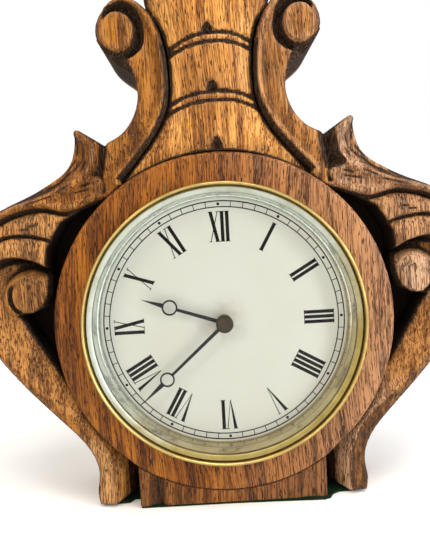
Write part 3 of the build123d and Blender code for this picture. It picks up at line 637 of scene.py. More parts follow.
# the left wing's oak is a darker, more saturated copy as painted shade, and the right wing's a paler copy as
# painted light from the right
OAK_LEFT_SHADED = oak("oak_left_shaded", (0.137, 0.05, 0.03), (0.42, 0.165, 0.024), (0.29, 0.102, 0.012),
               (0.076, 0.023, 0.004), 80, patch=0.3, worn_and_lit_colour=(0.62, 0.345, 0.14))
OAK_RIGHT_LIT = oak("oak_right_lit", (0.171, 0.02, 0.09), (0.44, 0.196, 0.052), (0.31, 0.122, 0.027),
                (0.086, 0.029, 0.009), 80, patch=0.5, worn_and_lit_colour=(0.62, 0.42, 0.28))
# the disc and the base are painted paler towards the right, as light from the right
OAK_DISC = oak("oak_disc", (0.305, 0.11, 0.07), (0.37, 0.128, 0.015), (0.25, 0.078, 0.008),
               (0.072, 0.021, 0.004), 70, right_light_share=0.38)
OAK_BASE = oak("oak_base", (0.431, 0.20, 0.02), (0.27, 0.098, 0.019), (0.18, 0.062, 0.011),
               (0.058, 0.020, 0.005), 60, right_light_share=0.15)
OAK_RECESS_SHADE = recess_shade_oak("oak_recess_shade")
AGED_BRASS = metal("aged_brass", (0.60, 0.44, 0.15), (0.24, 0.19, 0.075), 0.30, amount=0.6)
PAINTED_REFLECTION_BRASS = painted_reflection_brass("brass_with_painted_reflection", ((0.82, 0.86, 0.81), (0.70, 0.75, 0.70)),
                    ((0.72, 0.60, 0.36), (0.52, 0.43, 0.24)), 0.20)
DULL_PAINTED_REFLECTION_BRASS = painted_reflection_brass("dull_brass_with_painted_reflection", ((0.46, 0.50, 0.44), (0.36, 0.38, 0.30)),
                       ((0.40, 0.31, 0.10), (0.26, 0.20, 0.06)), 0.42)
BRONZE = metal("dark_bronze", (0.075, 0.058, 0.038), (0.035, 0.028, 0.020), 0.42)
PLATE_BRASS = metal("plate_brass", (0.72, 0.52, 0.20), (0.45, 0.30, 0.11), 0.28, brushed=(1800, 1800, 90))
COVER_BRASS = metal("cover_brass", (0.56, 0.40, 0.15), (0.24, 0.16, 0.06), 0.34, scale=60.0)
STEEL = metal("steel", (0.52, 0.53, 0.54), (0.30, 0.27, 0.24), 0.26)
SPRING_STEEL = metal("spring_steel", (0.33, 0.34, 0.37), (0.18, 0.17, 0.17), 0.30)
BLUED = lacquer("blued_steel", (0.007, 0.007, 0.009), (0.012, 0.013, 0.018), 0.32, 0.25)
INK = lacquer("ink", (0.007, 0.0065, 0.006), (0.014, 0.012, 0.011), 0.6, 0.08)
WHITE = enamel("dial_white", (0.79, 0.79, 0.73), (0.74, 0.725, 0.645))
BAIZE = felt_cloth("green_baize")
CRYSTAL = crystal("crystal")


# ---------------------------------------------------------------- the wings' outline
# The right wing, from the arm beside the neck round the volute, leaf, outer scroll and leg.
ARM_INNER = [(37.0, 58.0), (27.0, 69.3), (21.0, 77.6), (17.2, 87.0), (16.5, 97.0), (17.4, 107.4)]
VOLUTE = [(20.0, 116.0), (24.5, 122.6), (31.0, 126.2), (37.5, 125.2), (42.0, 121.0), (43.6, 115.0)]
ARM_OUTER = [(42.0, 109.5), (37.0, 103.7), (31.0, 98.6), (28.4, 91.5), (30.6, 81.8), (36.2, 75.0)]
LEAF_NOTCH = (42.9, 71.8)
LEAF_TIP = [(54.0, 75.0), (54.0, 76.6), (53.1, 77.5), (51.4, 77.2)]
LEAF_TOP = [(54.2, 71.0), (55.7, 65.9), (58.5, 62.2), (62.6, 59.2), (72.0, 54.2)]
LEAF_TOP += [(84.0, 48.9), (93.6, 42.0)]
OUTER_SCROLL = [(100.0, 24.0), (96.6, 3.0)]
LEG_OUTER = [(81.0, -21.5), (64.6, -39.4), (55.6, -51.5), (53.9, -60.0), (54.9, -67.0)]
FOOT_TOE = (54.2, FLOOR)
FOOT_HEEL = (41.5, FLOOR)
LEG_INNER = (41.2, -54.5)
RECESS = [(66.0, -19.0), (76.7, -1.9), (81.5, 6.7), (77.4, 7.7), (70.6, 10.4), (68.1, 16.5)]
RECESS += [(68.7, 25.0), (68.1, 33.0), (64.6, 38.4), (61.7, 43.0), (54.0, 47.4), (44.8, 50.4)]

# Lines cut into the wing.
VOLUTE_EYE = (34.6, 113.3)
VOLUTE_EYE_SIZE = (6.2, 7.4)
VOLUTE_CUT = [(40.4, 120.2), (39.0, 122.6), (35.8, 124.4), (31.6, 124.4), (27.4, 122.0), (25.0, 117.4)]
VOLUTE_CUT += [(24.3, 112.4), (24.9, 108.2), (27.2, 105.2), (31.3, 102.9)]
UNDERSIDE = [(31.3, 102.9), (29.8, 99.8), (28.8, 95.8), (28.2, 89.6), (33.0, 97.0)]
UNDERSIDE += [(46.0, 104.0), (46.0, 113.0), (42.4, 111.6), (40.0, 108.6), (36.5, 106.6), (33.0, 107.0)]
GOUGE = [(41.2, 74.0), (41.0, 70.0), (41.8, 66.0), (42.5, 62.0), (43.2, 59.0), (43.0, 56.0)]
GOUGE += [(43.6, 52.4), (45.0, 52.6), (44.4, 56.4), (45.2, 58.0), (46.8, 59.2), (49.2, 60.3)]
GOUGE += [(47.2, 62.8), (46.3, 66.0), (45.8, 70.0), (45.6, 74.0)]
LEAF_RIDGE = [(52.2, 77.0), (49.6, 74.2), (47.8, 70.6), (47.5, 66.4), (49.0, 62.4), (53.0, 58.6)]
LEAF_RIDGE += [(60.0, 55.2), (70.0, 51.4), (84.0, 46.6), (95.0, 38.0)]
LEAF_VEIN = [(53.9, 75.2), (52.3, 70.6), (52.9, 66.2), (56.2, 61.9), (62.0, 57.6)]
LEAF_VEIN += [(72.0, 52.9), (84.0, 48.0)]
UNDER_LEAF = [(43.6, 50.4), (50.0, 48.4), (56.0, 46.5), (61.0, 46.2), (65.0, 47.3)]
UNDER_LEAF += [(69.0, 48.0), (74.0, 47.6), (81.0, 45.8), (88.0, 42.2), (96.0, 36.5)]
TONGUE_CUT = [(64.6, 35.3), (69.4, 37.0), (74.6, 38.1), (82.0, 38.3), (90.0, 35.6), (97.0, 31.0)]
SCROLL_CUT = [(67.4, 23.8), (71.0, 26.3), (76.5, 28.6), (83.0, 29.4), (90.0, 26.6)]
SCROLL_CUT += [(95.0, 19.0), (94.2, 9.0)]
SCROLL_EYE = (75.5, 13.8)
SCROLL_EYE_SIZE = (5.0, 5.9)
HOOK = [(79.8, 21.2), (81.9, 19.4), (83.4, 16.4), (83.3, 12.8), (81.8, 9.6), (78.6, 7.4)]
LEG_RIDGE = [(96.0, 12.0), (89.6, -5.0), (80.7, -16.3), (66.9, -30.6), (54.6, -41.8)]
LEG_RIDGE += [(49.5, -51.0), (47.6, -58.5), (48.4, FLOOR - 1.0)]


LEAF_MARKS = [  # thin cuts along the leaf: start, end and depth
    ((50.0, 71.0), (51.6, 65.6), 0.60),
    ((51.2, 66.4), (56.4, 60.8), 0.65),
    ((52.8, 73.4), (53.2, 67.6), 0.35),
    ((53.4, 67.0), (58.2, 61.4), 0.40),
    ((49.6, 66.0), (52.6, 61.4), 0.40),
    ((55.2, 62.8), (62.0, 57.4), 0.50),
    ((57.0, 59.8), (68.6, 54.6), 0.45),
    ((59.6, 57.4), (72.0, 52.2), 0.40),
    ((55.6, 57.4), (64.0, 53.4), 0.40),
    ((62.0, 53.6), (74.0, 50.0), 0.30),
    ((67.0, 55.8), (77.0, 51.8), 0.30),
    ((48.4, 57.3), (53.6, 56.0), 0.90),
    ((48.6, 55.2), (56.8, 53.6), 0.95),
    ((70.6, 42.2), (74.6, 41.9), 0.45),
    ((73.4, 40.9), (77.6, 40.8), 0.35),
]


def on_circle(inner, outer, radius):
    """Where the line from a point inside a circle to a point outside it crosses the circle."""
    inner, outer = np.array(inner), np.array(outer)
    run = outer - inner
    a, b, c = run @ run, inner @ run, inner @ inner - radius**2
    return inner + run * (-b + sqrt(b * b - a * c)) / a


def direction(point):
    return atan2(point[1], point[0])


def seat(flat):
    """A stretch carried straight in to the seat of the drum housing, which has a flat side."""
    turn = np.arctan2(flat[:, 1], flat[:, 0])
    radius = np.minimum(SEAT_RADIUS, (HOUSING_FLAT + WOOD_GAP) / np.maximum(np.cos(turn), 0.01))
    return np.column_stack((radius * np.cos(turn), radius * np.sin(turn)))


def wing_stretches():
    """The wing's edge as named stretches, anticlockwise seen from the front."""
    arm_root = on_circle((36.0, 45.0), ARM_INNER[0], RIM_RADIUS)
    leg_root = on_circle((36.0, -45.0), LEG_INNER, RIM_RADIUS)
    recess_low = on_circle((54.0, -34.0), RECESS[0], RIM_RADIUS)
    recess_high = on_circle((40.0, 48.0), RECESS[-1], RIM_RADIUS)
    outline = smooth([*ARM_INNER, *VOLUTE, *ARM_OUTER, LEAF_NOTCH])[::-1]
    outer = smooth([LEAF_TIP[0], *LEAF_TOP, *OUTER_SCROLL, *LEG_OUTER, FOOT_TOE])[::-1]
    upper_end = [*RECESS[7:], recess_high]
    hollow = joined(
        straight(recess_low, RECESS[0]),
        smooth(RECESS[:3]),
        straight(RECESS[2], RECESS[3]),
        smooth(RECESS[3:8]),
        *map(straight, upper_end, upper_end[1:]),
    )
    return {
        "heel": joined(straight(leg_root, LEG_INNER), straight(LEG_INNER, FOOT_HEEL),
                       [FOOT_HEEL, FOOT_HEEL]),
        "sole": straight(FOOT_HEEL, FOOT_TOE),
        "outer": joined(outer, smooth(LEAF_TIP), straight(LEAF_TIP[-1], LEAF_NOTCH), outline,
                        straight(ARM_INNER[0], arm_root), [arm_root, arm_root]),
        "upper_rim": arc(RIM_RADIUS, direction(arm_root), direction(recess_high)),
        "recess": np.concatenate((hollow, [recess_high]))[::-1],
        "lower_rim": arc(RIM_RADIUS, direction(recess_low), direction(leg_root)),
    }


WING = wing_stretches()


def roll(points, centre, size, edge):
    """Reach in a scroll, 1 at its flat eye's rim, and the share of the way from there to the edge."""
    offset = (points - centre) / size
    reach = np.hypot(*offset.T)
    beyond = np.clip(reach - 1, 0, None) * np.hypot(*(points - centre).T) / np.maximum(reach, 1e-6)
    return reach, beyond / np.maximum(beyond + edge, 1e-6)


def wing_surface(points, seed, is_left):
    """The carved face of a wing, at points on it."""
    silhouette = np.concatenate((WING["sole"], WING["outer"]))
    knots = {
        "arm": [*ARM_INNER, *VOLUTE[:3]], "leaf_ridge": LEAF_RIDGE, "vein": LEAF_VEIN, "under": UNDER_LEAF,
        "tongue": TONGUE_CUT, "scroll": SCROLL_CUT, "hook": HOOK, "leg": LEG_RIDGE, "neck": ARM_INNER,
    }
    volute_cut = smooth(VOLUTE_CUT)
    gouge = smooth(GOUGE)
    x, z = points.T
    edge, _, _ = nearest(points, silhouette)
    hollow, _, _ = nearest(points, WING["recess"])
    rim, _, _ = nearest(points, np.concatenate((WING["upper_rim"], WING["lower_rim"])))
    away, share, side = {}, {}, {}
    for name, line in knots.items():
        away[name], share[name], side[name] = nearest(points, smooth(line))
    shade_and_stain = np.zeros(len(points))

    below_leaf = side["under"] < 0
    is_leaf = ~below_leaf & (x > np.where(z > 59, 43.0, 44.2)) & (z < 78)
    is_tongue_one = below_leaf & (side["tongue"] > 0) & (x > 56)
    is_tongue_two = (side["tongue"] < 0) & (side["scroll"] > 0) & (z > 20) & (x > 60)
    is_leg = ~(is_leaf | is_tongue_one | is_tongue_two) & (z < 35)
    is_scroll = is_leg & (side["scroll"] < 0) & (z > -2) & (x > 62)
    is_arm = ~(is_leaf | is_tongue_one | is_tongue_two | is_leg)

    # the arm: a rounded ridge beside the neck, a shallow cove, and a flat that leans to the gouge
    height = np.full(len(points), WING_FACE)
    ridge = bump(away["arm"] - 1.9, 2.0)
    cove = bump(away["arm"] - 5.0, 3.2)
    lean = step_up(away["arm"], 5.0, 16.0)
    arm = WING_FACE - 0.5 + 1.5 * ridge - 0.9 * cove + 0.3 * lean
    height = np.where(is_arm, arm, height)

    # the volute: flat eye, a wide cut round it painted dark as shade, a roll over the outer side painted
    # darker as it turns away, and an underside painted dark as shadow
    reach, over = roll(points, np.array(VOLUTE_EYE), np.array(VOLUTE_EYE_SIZE), edge)
    is_volute = is_arm & (z > 86)
    turn = np.degrees(np.arctan2(z - VOLUTE_EYE[1], x - VOLUTE_EYE[0]))
    outer_side = step_up(-np.abs(turn + 12), -96, -66) * (z > 104)
    rolled = WING_FACE - 0.5 - 6.5 * (1 - np.sqrt(np.clip(1 - over**2, 0, 1)))
    weight = outer_side * is_volute * (reach > 1.0)
    height = height * (1 - weight) + rolled * weight
    shade_and_stain = highest(shade_and_stain, weight * 0.45 * over)
    eye = is_volute & (reach <= 1.0)
    height = np.where(eye, WING_FACE + 0.8 - 0.7 * step_up(reach, 0.88, 1.0) ** 2, height)
    under = is_volute & within(points, np.array(UNDERSIDE)) & ~eye
    near, _, _ = nearest(points, closed(np.array(UNDERSIDE)))
    height = np.where(under, WING_FACE - 1.6 - 4.2 * step_up(near, 0.0, 4.5), height)
    shade_and_stain = np.where(under, 0.62 + 0.38 * step_up(near, 0.0, 1.2), shade_and_stain)
    weight = np.maximum(weight, under)
    cut = is_volute & within(points, volute_cut) & ~eye
    near, _, _ = nearest(points, volute_cut)
    near = np.minimum(near, (reach - 1) * 6.6)
    floor = WING_FACE - 0.4 - 4.2 * step_up(near, 0.0, 1.5)
    height = np.where(cut, np.minimum(height, floor), height)
    shade_and_stain = np.where(cut, highest(shade_and_stain, 0.4 + 0.6 * step_up(near, 0.0, 0.5)), shade_and_stain)

    # the leaf: a ridge from its tip, a sunk vein, a lobe and a raised rim
    leaf = WING_FACE - 0.4 + 1.8 * bump(away["leaf_ridge"], 2.4) - 1.2 * bump(away["vein"], 2.2)
    leaf += 1.1 * bump(away["under"] - 2.4, 2.2)
    leaf += 1.0 * bump(np.hypot(x - 47.2, z - 55.4), 4.2)
    leaf += 0.35 * step_up(x, 60, 84)
    height = np.where(is_leaf, leaf, height)
    # the thin cuts and the gouge are painted dark as shade in them, with staining; on the right wing the
    # gouge's flank is painted darker as its shaded side
    for start, end, deep in LEAF_MARKS:
        near, along, _ = nearest(points, straight(start, end))
        slit = bump(near, 0.66) * np.sin(pi * np.clip(along, 0.02, 0.98)) ** 0.5 * (is_leaf | (z < 50))
        height -= deep * slit
        shade_and_stain = highest(shade_and_stain, 0.9 * slit)
    near, _, _ = nearest(points, closed(gouge))
    near = np.where(within(points, gouge), near, -near)
    height -= 3.2 * step_up(near, 0.0, 1.6)
    spread = np.where(z > 58, 0.9 if is_left else -1.3, 0.0)
    shade_and_stain = highest(shade_and_stain, (0.38 if is_left else 0.8) * step_up(near - spread, -0.3, 0.9) * (z < 76))

    # tongues, each one higher at its lower edge
    for mask, upper, lower, lift in (
        (is_tongue_one, "under", "tongue", 0.0),
        (is_tongue_two, "tongue", "scroll", -0.3),
    ):
        across = away[upper] / np.maximum(away[upper] + away[lower], 1e-6)
        body = WING_FACE - 1.3 + lift + 1.6 * np.sin(0.5 * pi * across) - 0.7 * across**6
        height = np.where(mask, body, height)

    # the leg: an inner face and an outer bevel that meet in a ridge; the bevel is painted a little darker
    # away from the ridge as shade
    outward = side["leg"] < 0
    inner = WING_FACE + 0.2 - 0.20 * away["leg"] - 0.5 * bump(away["leg"] - 3.2, 2.6)
    bevel = WING_FACE + 0.2 - (0.42 + 1.15 * step_up(-z, 22, 58)) * away["leg"]
    height = np.where(is_leg, np.where(outward, bevel, inner), height)
    shade_and_stain = highest(shade_and_stain, np.where(is_leg & outward, 0.10 * step_up(away["leg"], 0.5, 4.0), 0))

    # the lower scroll: a ball with a flat eye that rolls over its recess side and melts into the leg; the
    # roll is painted darker as shade, and so is a thin lip round the eye on the recess side
    reach, over = roll(points, np.array(SCROLL_EYE), np.array(SCROLL_EYE_SIZE), hollow)
    ball = WING_FACE + 0.6 - 5.0 * (1 - np.sqrt(np.clip(1 - over**2, 0, 1)))
    ball -= 0.55 * step_up(reach, 0.95, 1.12)
    apart = np.hypot(x - SCROLL_EYE[0], z - SCROLL_EYE[1])
    share_of_ball = step_up(-apart, -12.5, -8.5) * is_scroll
    height = height * (1 - share_of_ball) + ball * share_of_ball
    recess_side = step_up(SCROLL_EYE[0] - x, -1.0, 3.0)
    lip = 0.35 * bump(reach - 1.12, 0.16) * recess_side
    shade_and_stain = highest(shade_and_stain, share_of_ball * (0.30 * over + lip))

    # cuts between the regions, painted dark as shade in them
    for name, deep, half in (("under", 2.4, 0.95), ("tongue", 1.8, 0.75), ("scroll", 2.0, 0.90)):
        fade = 1 - 0.6 * step_up(share[name], 0.75, 1.0)
        height -= deep * fade * trough(away[name], half)
        shade_and_stain = highest(shade_and_stain, 0.85 * fade * step_up(-away[name], -half * 1.2, -half * 0.6))
    fade = step_up(share["hook"], 0.0, 0.35) * (1 - step_up(share["hook"], 0.85, 1.0))
    height -= 2.6 * fade * trough(away["hook"], 0.95)
    shade_and_stain = highest(shade_and_stain, fade * step_up(-away["hook"], -1.3, -0.7))

    # edges and the marks of the tools; painted shade along the recess, beside the disc and in the gap beside
    # the neck
    height -= rounded(edge, 1.8) * (weight < 0.5)
    height -= 0.9 * rounded(hollow, 1.2)
    height -= rounded(rim, 0.6)
    shade_and_stain = highest(shade_and_stain, 0.55 * bump(hollow, 0.9))
    shade_and_stain = highest(shade_and_stain, 0.6 * bump(rim, 1.1))
    shade_and_stain = highest(shade_and_stain, 0.95 * step_up(-away["neck"], -1.9, -0.7) * (z > 58))
    height += 0.13 * ripple(points, 4.2, seed) + 0.06 * ripple(points, 1.3, seed + 7)
    height += 0.10 * ripple(points, 0.7, seed + 11) * is_leg * step_up(-z, 25, 45)

    # painted light on faces that catch the lamps, shared with places where the varnish has gone, and painted
    # shade on faces turned away: the left arm and the right leg's inner face
    patchy = 0.75 + 0.25 * ripple(points, 2.0, seed + 3)
    low = step_up(-z, 38, 50)
    if is_left:
        worn_and_lit = np.where(is_leg, np.where(outward, 0.45, low), 0)
        shade_and_stain = highest(shade_and_stain, 0.17 * is_arm)
    else:
        worn_and_lit = np.where(is_leg & outward, step_up(-z, 20, 45), 0)
        worn_and_lit = np.maximum(worn_and_lit, is_leaf * (0.50 + 0.4 * (z > 58) * bump(away["leaf_ridge"], 3.0)))
        worn_and_lit = np.maximum(worn_and_lit, share_of_ball)
        shaded_face = is_leg & ~outward & ~is_scroll
        shade_and_stain = highest(shade_and_stain, np.where(shaded_face, 0.22 + 0.24 * step_up(-z, 8, 34), 0))
    worn_and_lit = np.maximum(worn_and_lit, (0.65 if is_left else 0.40) * (is_tongue_one | is_tongue_two))
    return height, shade_and_stain, worn_and_lit * patchy


DEEP = 1  # material slot of the recess
FINE, MEDIUM, COARSE = 0.5, 0.6, 0.7  # mesh spacing of the carved faces
WING_EDGE_DEPTHS = (2.5, 6.0, 11.0, 17.0, 24.0)  # rows down the outer sides
BACK_BEVEL = 0.9
UNDER_VOLUTE = (27.5, 88.5, 108.5)  # the walls painted dark as shade under the volute: out from x, and between two heights


def carved_wing(name, mirrored, seed):
    shell = Shell()
    loop = joined(*WING.values())
    rim, marks = carved_face(shell, loop, lambda points: wing_surface(points, seed, mirrored), FINE)
    first = 0
    fronts = {}
    for key, stretch in WING.items():
        fronts[key] = stretch_of(rim, marks, np.arange(first, first + len(stretch)))
        first += len(stretch) - 1
    for key in ("heel", "sole", "outer"):
        start = fronts[key][0][:, 1]
        flat = fronts[key][0][:, [0, 2]]
        from_x, low, high = UNDER_VOLUTE
        is_shaded = (flat[:, 0] > from_x) & (flat[:, 1] > low) & (flat[:, 1] < high)
        rows = [
            row(flat, np.maximum(start + 0.05 * depth, depth), np.where(is_shaded, 1.0, 0.16))
            for depth in WING_EDGE_DEPTHS
        ]
        rows += [row(flat, WING_BACK - BACK_BEVEL, 0.25), row(flat, WING_BACK, 0.3)]
        shell.wall([fronts[key], *rows])
    for key in ("upper_rim", "lower_rim"):
        inner = seat(fronts[key][0][:, [0, 2]])
        shell.rabbet(fronts[key], inner, (WEB_DEPTH, 1), (WING_BACK, 0.4), slot=DEEP)
    flat = fronts["recess"][0][:, [0, 2]]
    shaded = row(flat, fronts["recess"][0][:, 1] + 1.8, 0.9)
    shell.wall([fronts["recess"], shaded])
    shell.wall([shaded, row(flat, SCREEN_BACK, 1), row(flat, WEB_DEPTH, 1)], slot=DEEP)
    inner = seat(arc(SEAT_RADIUS, direction(flat[0]), direction(flat[-1])))
    for end in (0, -1):
        shell.cheek(flat[end], inner[end], WEB_DEPTH, 1, slot=DEEP)
    shell.sheet(np.concatenate((inner[:1], flat, inner[::-1][:-1])), WEB_DEPTH, 1, slot=DEEP)
    shell.wall([row(inner, WEB_DEPTH, 1), row(inner, WING_BACK, 0.4)])
    back = joined(WING["heel"], WING["sole"], WING["outer"], seat(WING["upper_rim"]), inner,
                  seat(WING["lower_rim"]))
    shell.sheet(back, WING_BACK, 0.25)
    return shell.build(name, OAK_LEFT_SHADED if mirrored else OAK_RIGHT_LIT, OAK_RECESS_SHADE, mirrored=mirrored)


stand_in(carved_wing("carved_right_wing", False, 3.0), "right_wing")
stand_in(carved_wing("carved_left_wing", True, 41.0), "left_wing")


# ---------------------------------------------------------------- the neck and the drum housing
NECK_SIDE = [(36.2, 57.4), (26.3, 68.7), (20.2, 77.2), (16.4, 86.7), (15.7, 97.0), (16.4, 107.4)]
NECK_SIDE += [(19.3, 116.0), (23.3, 121.9)]
NECK_SHOULDER = (24.0, NECK_TOP)
BANDS = (
    [(-18.6, 81.2), (-10.0, 84.3), (0.0, 85.5), (8.0, 85.4), (18.8, 82.0)],
    [(-17.4, 84.9), (-10.0, 87.6), (0.0, 88.8), (8.0, 88.6), (17.6, 85.8)],
    [(-16.6, 103.4), (-8.0, 106.1), (2.0, 107.2), (10.0, 106.6), (16.8, 104.5)],
    [(-16.8, 105.2), (-8.0, 109.0), (2.0, 110.5), (10.0, 109.8), (17.0, 107.1)],
)
DROPS = ((-0.4, 110.5, 2.1, 4.0), (0.3, 88.9, 2.3, 4.4), (0.9, 67.0, 2.3, 5.4))  # x, foot, half width, height
NECK_BOW = 4.6
BESIDE_ARM = (60, 122, 12)  # where the neck's walls fill the gap to the arm, painted dark as shade in it: heights, and out from x


def neck_surface(points):
    """A bowed column with two pairs of cuts, and three short gouge cuts above them. The cuts, the band beside
    the disc, the column's sides and their upper parts are painted darker as shade.
    """
    x, z = points.T
    side = smooth([*NECK_SIDE, NECK_SHOULDER], 0.5)
    half = np.interp(z, side[:, 1], side[:, 0])
    across = np.clip(np.abs(x) / half, 0, 1)
    height = -NECK_FRONT - NECK_BOW * across**2
    reach = np.hypot(x, z) - RIM_RADIUS
    height -= 0.7 * bump(reach, 3.0)
    upper_side_shade = 0.40 * step_up(z, 110, 124) * step_up(across, 0.45, 1.0)
    dark_by_disc = 0.50 * bump(reach, 8.0) * (0.6 + 0.4 * ripple(points, 1.1, 5.0))
    shade_and_stain = highest(upper_side_shade, dark_by_disc, 0.9 * bump(reach, 1.1))
    for band in BANDS:
        away, share, _ = nearest(points, smooth(band))
        half_cut = 0.72 + 0.18 * ripple(points, 1.6, band[0][1]) + 0.35 * step_up(share, 0.82, 1.0)
        half_cut += 0.45 * step_up(1 - share, 0.80, 1.0)
        height -= 1.25 * trough(away, half_cut)
        shade_and_stain = highest(shade_and_stain, step_up(-away, -half_cut * 1.25, -half_cut * 0.7))
    for middle, foot, half_width, tall in DROPS:
        u = (x - middle) / half_width
        v = (z - foot) / tall
        dip = np.sqrt(np.clip(1 - u**2 - np.clip(v, 0, 1) ** 2, 0, 1)) * (v > 0) * (v < 1)
        height -= 2.6 * dip
        shade_and_stain = highest(shade_and_stain, np.clip(dip * 1.8, 0, 1))
    gap = np.abs(half - np.abs(x)) * (z > 57)
    height -= rounded(gap, 0.9)
    height += 0.09 * ripple(points, 3.6, 17.0) + 0.04 * ripple(points, 1.2, 19.0)
    return height, highest(shade_and_stain, step_up(-gap, -1.3, -0.4)), 0.0


def circle(radius, steps):
    """Directions all round the hands' axis, and the points on a circle in them."""
    turn = np.linspace(0, 2 * pi, steps + 1)[:-1]
    return turn, radius * np.column_stack((np.cos(turn), np.sin(turn)))


def carved_case():
    """Neck column and, behind the disc, the flat-sided ring that holds the drum."""
    shell = Shell()
    right = smooth([*NECK_SIDE, NECK_SHOULDER])
    root = on_circle((24.0, 40.0), NECK_SIDE[0], RIM_RADIUS)
    right = np.concatenate((straight(root, NECK_SIDE[0])[:-1], right))
    left = (right * (-1, 1))[::-1]
    rim = arc(RIM_RADIUS, pi - direction(root), direction(root))
    loop = joined(right, straight(right[-1], left[0]), left, rim)
    front, marks = carved_face(shell, loop, neck_surface, COARSE)
    sides = len(loop) - (len(rim) - 1)
    outside = stretch_of(front, marks, np.arange(sides + 1))
    x, z = outside[0][:, 0], outside[0][:, 2]
    arm = smooth([*ARM_INNER, *VOLUTE[:2]])
    beside = np.interp(z, arm[:, 1], arm[:, 0]) - WOOD_GAP
    low, high, from_x = BESIDE_ARM
    is_beside_arm = (z > low) & (z < high) & (np.abs(x) > from_x)
    behind = np.column_stack((np.where(is_beside_arm, np.sign(x) * beside, x), z))
    # the neck's side walls are painted dark as shade
    shell.flank(outside, behind, WING_BACK, (0.12, 0.4, 0.7, 0.97, 1.0), 0.9)
    under = stretch_of(front, marks, np.arange(sides, len(loop) + 1))
    inner = under[0][:, [0, 2]] * HOUSING_RADIUS / RIM_RADIUS
    shell.rabbet(under, inner, (WING_BACK, 0.4))
    shell.sheet(np.concatenate((behind[:-1], inner[:-1])), WING_BACK, 0.25)

    _, outer = circle(HOUSING_RADIUS, 360)
    outer = np.column_stack((np.clip(outer[:, 0], -HOUSING_FLAT, HOUSING_FLAT), outer[:, 1]))
    _, bore = circle(BORE_RADIUS, 360)
    lip = 0.7
    rings = [row(bore, SCREEN_BACK, 0.6), row(outer, SCREEN_BACK, 0.6)]
    rings += [row(outer, depth, 0.35) for depth in (14.0, 23.0, WING_BACK, WOOD_BACK - lip)]
    rings += [row(outer * (1 - lip / HOUSING_RADIUS), WOOD_BACK, 0.1)]
    rings += [row(outer + (bore - outer) * share, WOOD_BACK, 0.05) for share in (0.35, 0.65, 0.97)]
    rings += [row(bore, WOOD_BACK - lip / 2, 0.3), rings[0]]
    shell.wall(rings, is_ring=True)
    return shell.build("carved_case", OAK_NECK)


stand_in(carved_case(), "case_body")


# ---------------------------------------------------------------- the crest, carved as a low shell
CREST_SIDE = [(17.0, NECK_TOP), (19.5, NECK_TOP + 3.5), (16.5, NECK_TOP + 8.5), (9.0, NECK_TOP + 12.4)]
CREST_SIDE += [(0.0, CREST_TOP)]
CREST_HALF = 19.5
SHELL_RIBS = 9
SHELL_EYE = (0.0, NECK_TOP + 0.6)


def crest_surface(points):
    x, z = points.T
    side = smooth(CREST_SIDE)
    edge, _, _ = nearest(points, np.concatenate((side, (side * (-1, 1))[::-1])))
    offset = points - SHELL_EYE
    reach = np.hypot(*offset.T)
    rib = np.abs(np.sin(SHELL_RIBS * np.arctan2(offset[:, 1], offset[:, 0]) / 2))
    inside = step_up(reach, 2.4, 5.0) * step_up(edge, 0.5, 1.6)
    height = -CREST_FRONT - 3.2 * (np.abs(x) / CREST_HALF) ** 2 - 0.2
    height -= 1.5 * (1 - rib) * inside + rounded(edge, 1.3)
    # the cuts between the ribs and round the eye are painted dark as shade in them, and the joint with the
    # neck is dark
    shade_and_stain = 0.9 * bump(rib, 0.30) * inside + 0.5 * bump(reach - 2.8, 0.8)
    height += 0.08 * ripple(points, 3.0, 29.0)
    return height, highest(shade_and_stain, 0.8 * bump(z - NECK_TOP, 1.2)), 0.0


def carved_crest():
    shell = Shell()
    side = smooth(CREST_SIDE)
    across = (side * (-1, 1))[::-1]
    loop = joined(side, across, straight(across[-1], side[0]))
    front, marks = carved_face(shell, loop, crest_surface, MEDIUM)
    rim = stretch_of(front, marks, np.arange(len(loop) + 1))
    shell.flank(rim, rim[0][:, [0, 2]], CREST_BACK, (0.1, 0.35, 0.65, 0.97, 1.0), 0.25)
    shell.sheet(loop, CREST_BACK, 0.2, spacing=2.0)
    return shell.build("carved_crest", OAK_NECK)


stand_in(carved_crest(), "crest")


# ---------------------------------------------------------------- the turned disc and the base block
def turned_disc():
    """Lathe work trued by hand: the rounded edge dies out where the disc runs on into the base."""
    turn, towards = circle(1.0, 540)
    from_foot = np.abs(np.degrees(np.angle(np.exp(1j * (turn + pi / 2)))))
    soft = 0.45 + 1.75 * step_up(from_foot, 33.0, 41.0)
    wobble = np.array([noise.noise(Vector((3 * c, 3 * s, 2.0))) for c, s in towards])
    outer = SCREEN_RADIUS - 0.12 + 0.10 * wobble
    flat_to = outer - soft
    rings = [row(towards * BORE_RADIUS, SCREEN_BACK, 0.6), row(towards * BORE_RADIUS, SCREEN_FRONT, 0.8)]
    for share in np.linspace(0, 1, 9):
        flat = towards * ((BORE_RADIUS + 1.5) * (1 - share) + flat_to * share)[:, None]
        rings.append(row(flat, SCREEN_FRONT + 0.05 * ripple(flat, 6.0, 55.0) + 0.02, 0.0))
    # the rounded edge is painted a little darker, and the side darker towards the back, as shade
    for angle in np.radians((15, 30, 45, 60, 75, 90)):
        flat = towards * (flat_to + soft * sin(angle))[:, None]
        rings.append(row(flat, SCREEN_FRONT + 0.02 + soft * (1 - cos(angle)), 0.10))
    rings += [row(towards * outer[:, None], *level) for level in ((-1.0, 0.35), (SCREEN_BACK, 1.0))]
    shell = Shell()
    shell.wall([*rings, rings[0]], is_ring=True)
    return shell.build("turned_disc", OAK_DISC)


BASE_TOP = -sqrt(RIM_RADIUS**2 - BASE_HALF**2)
FLUTE_EDGE = 27.4  # the flute's crisp inner edge, from the middle
FLUTE_SOFT = 35.6  # where it fades out towards the corner
FLUTE_TOP = -55.6


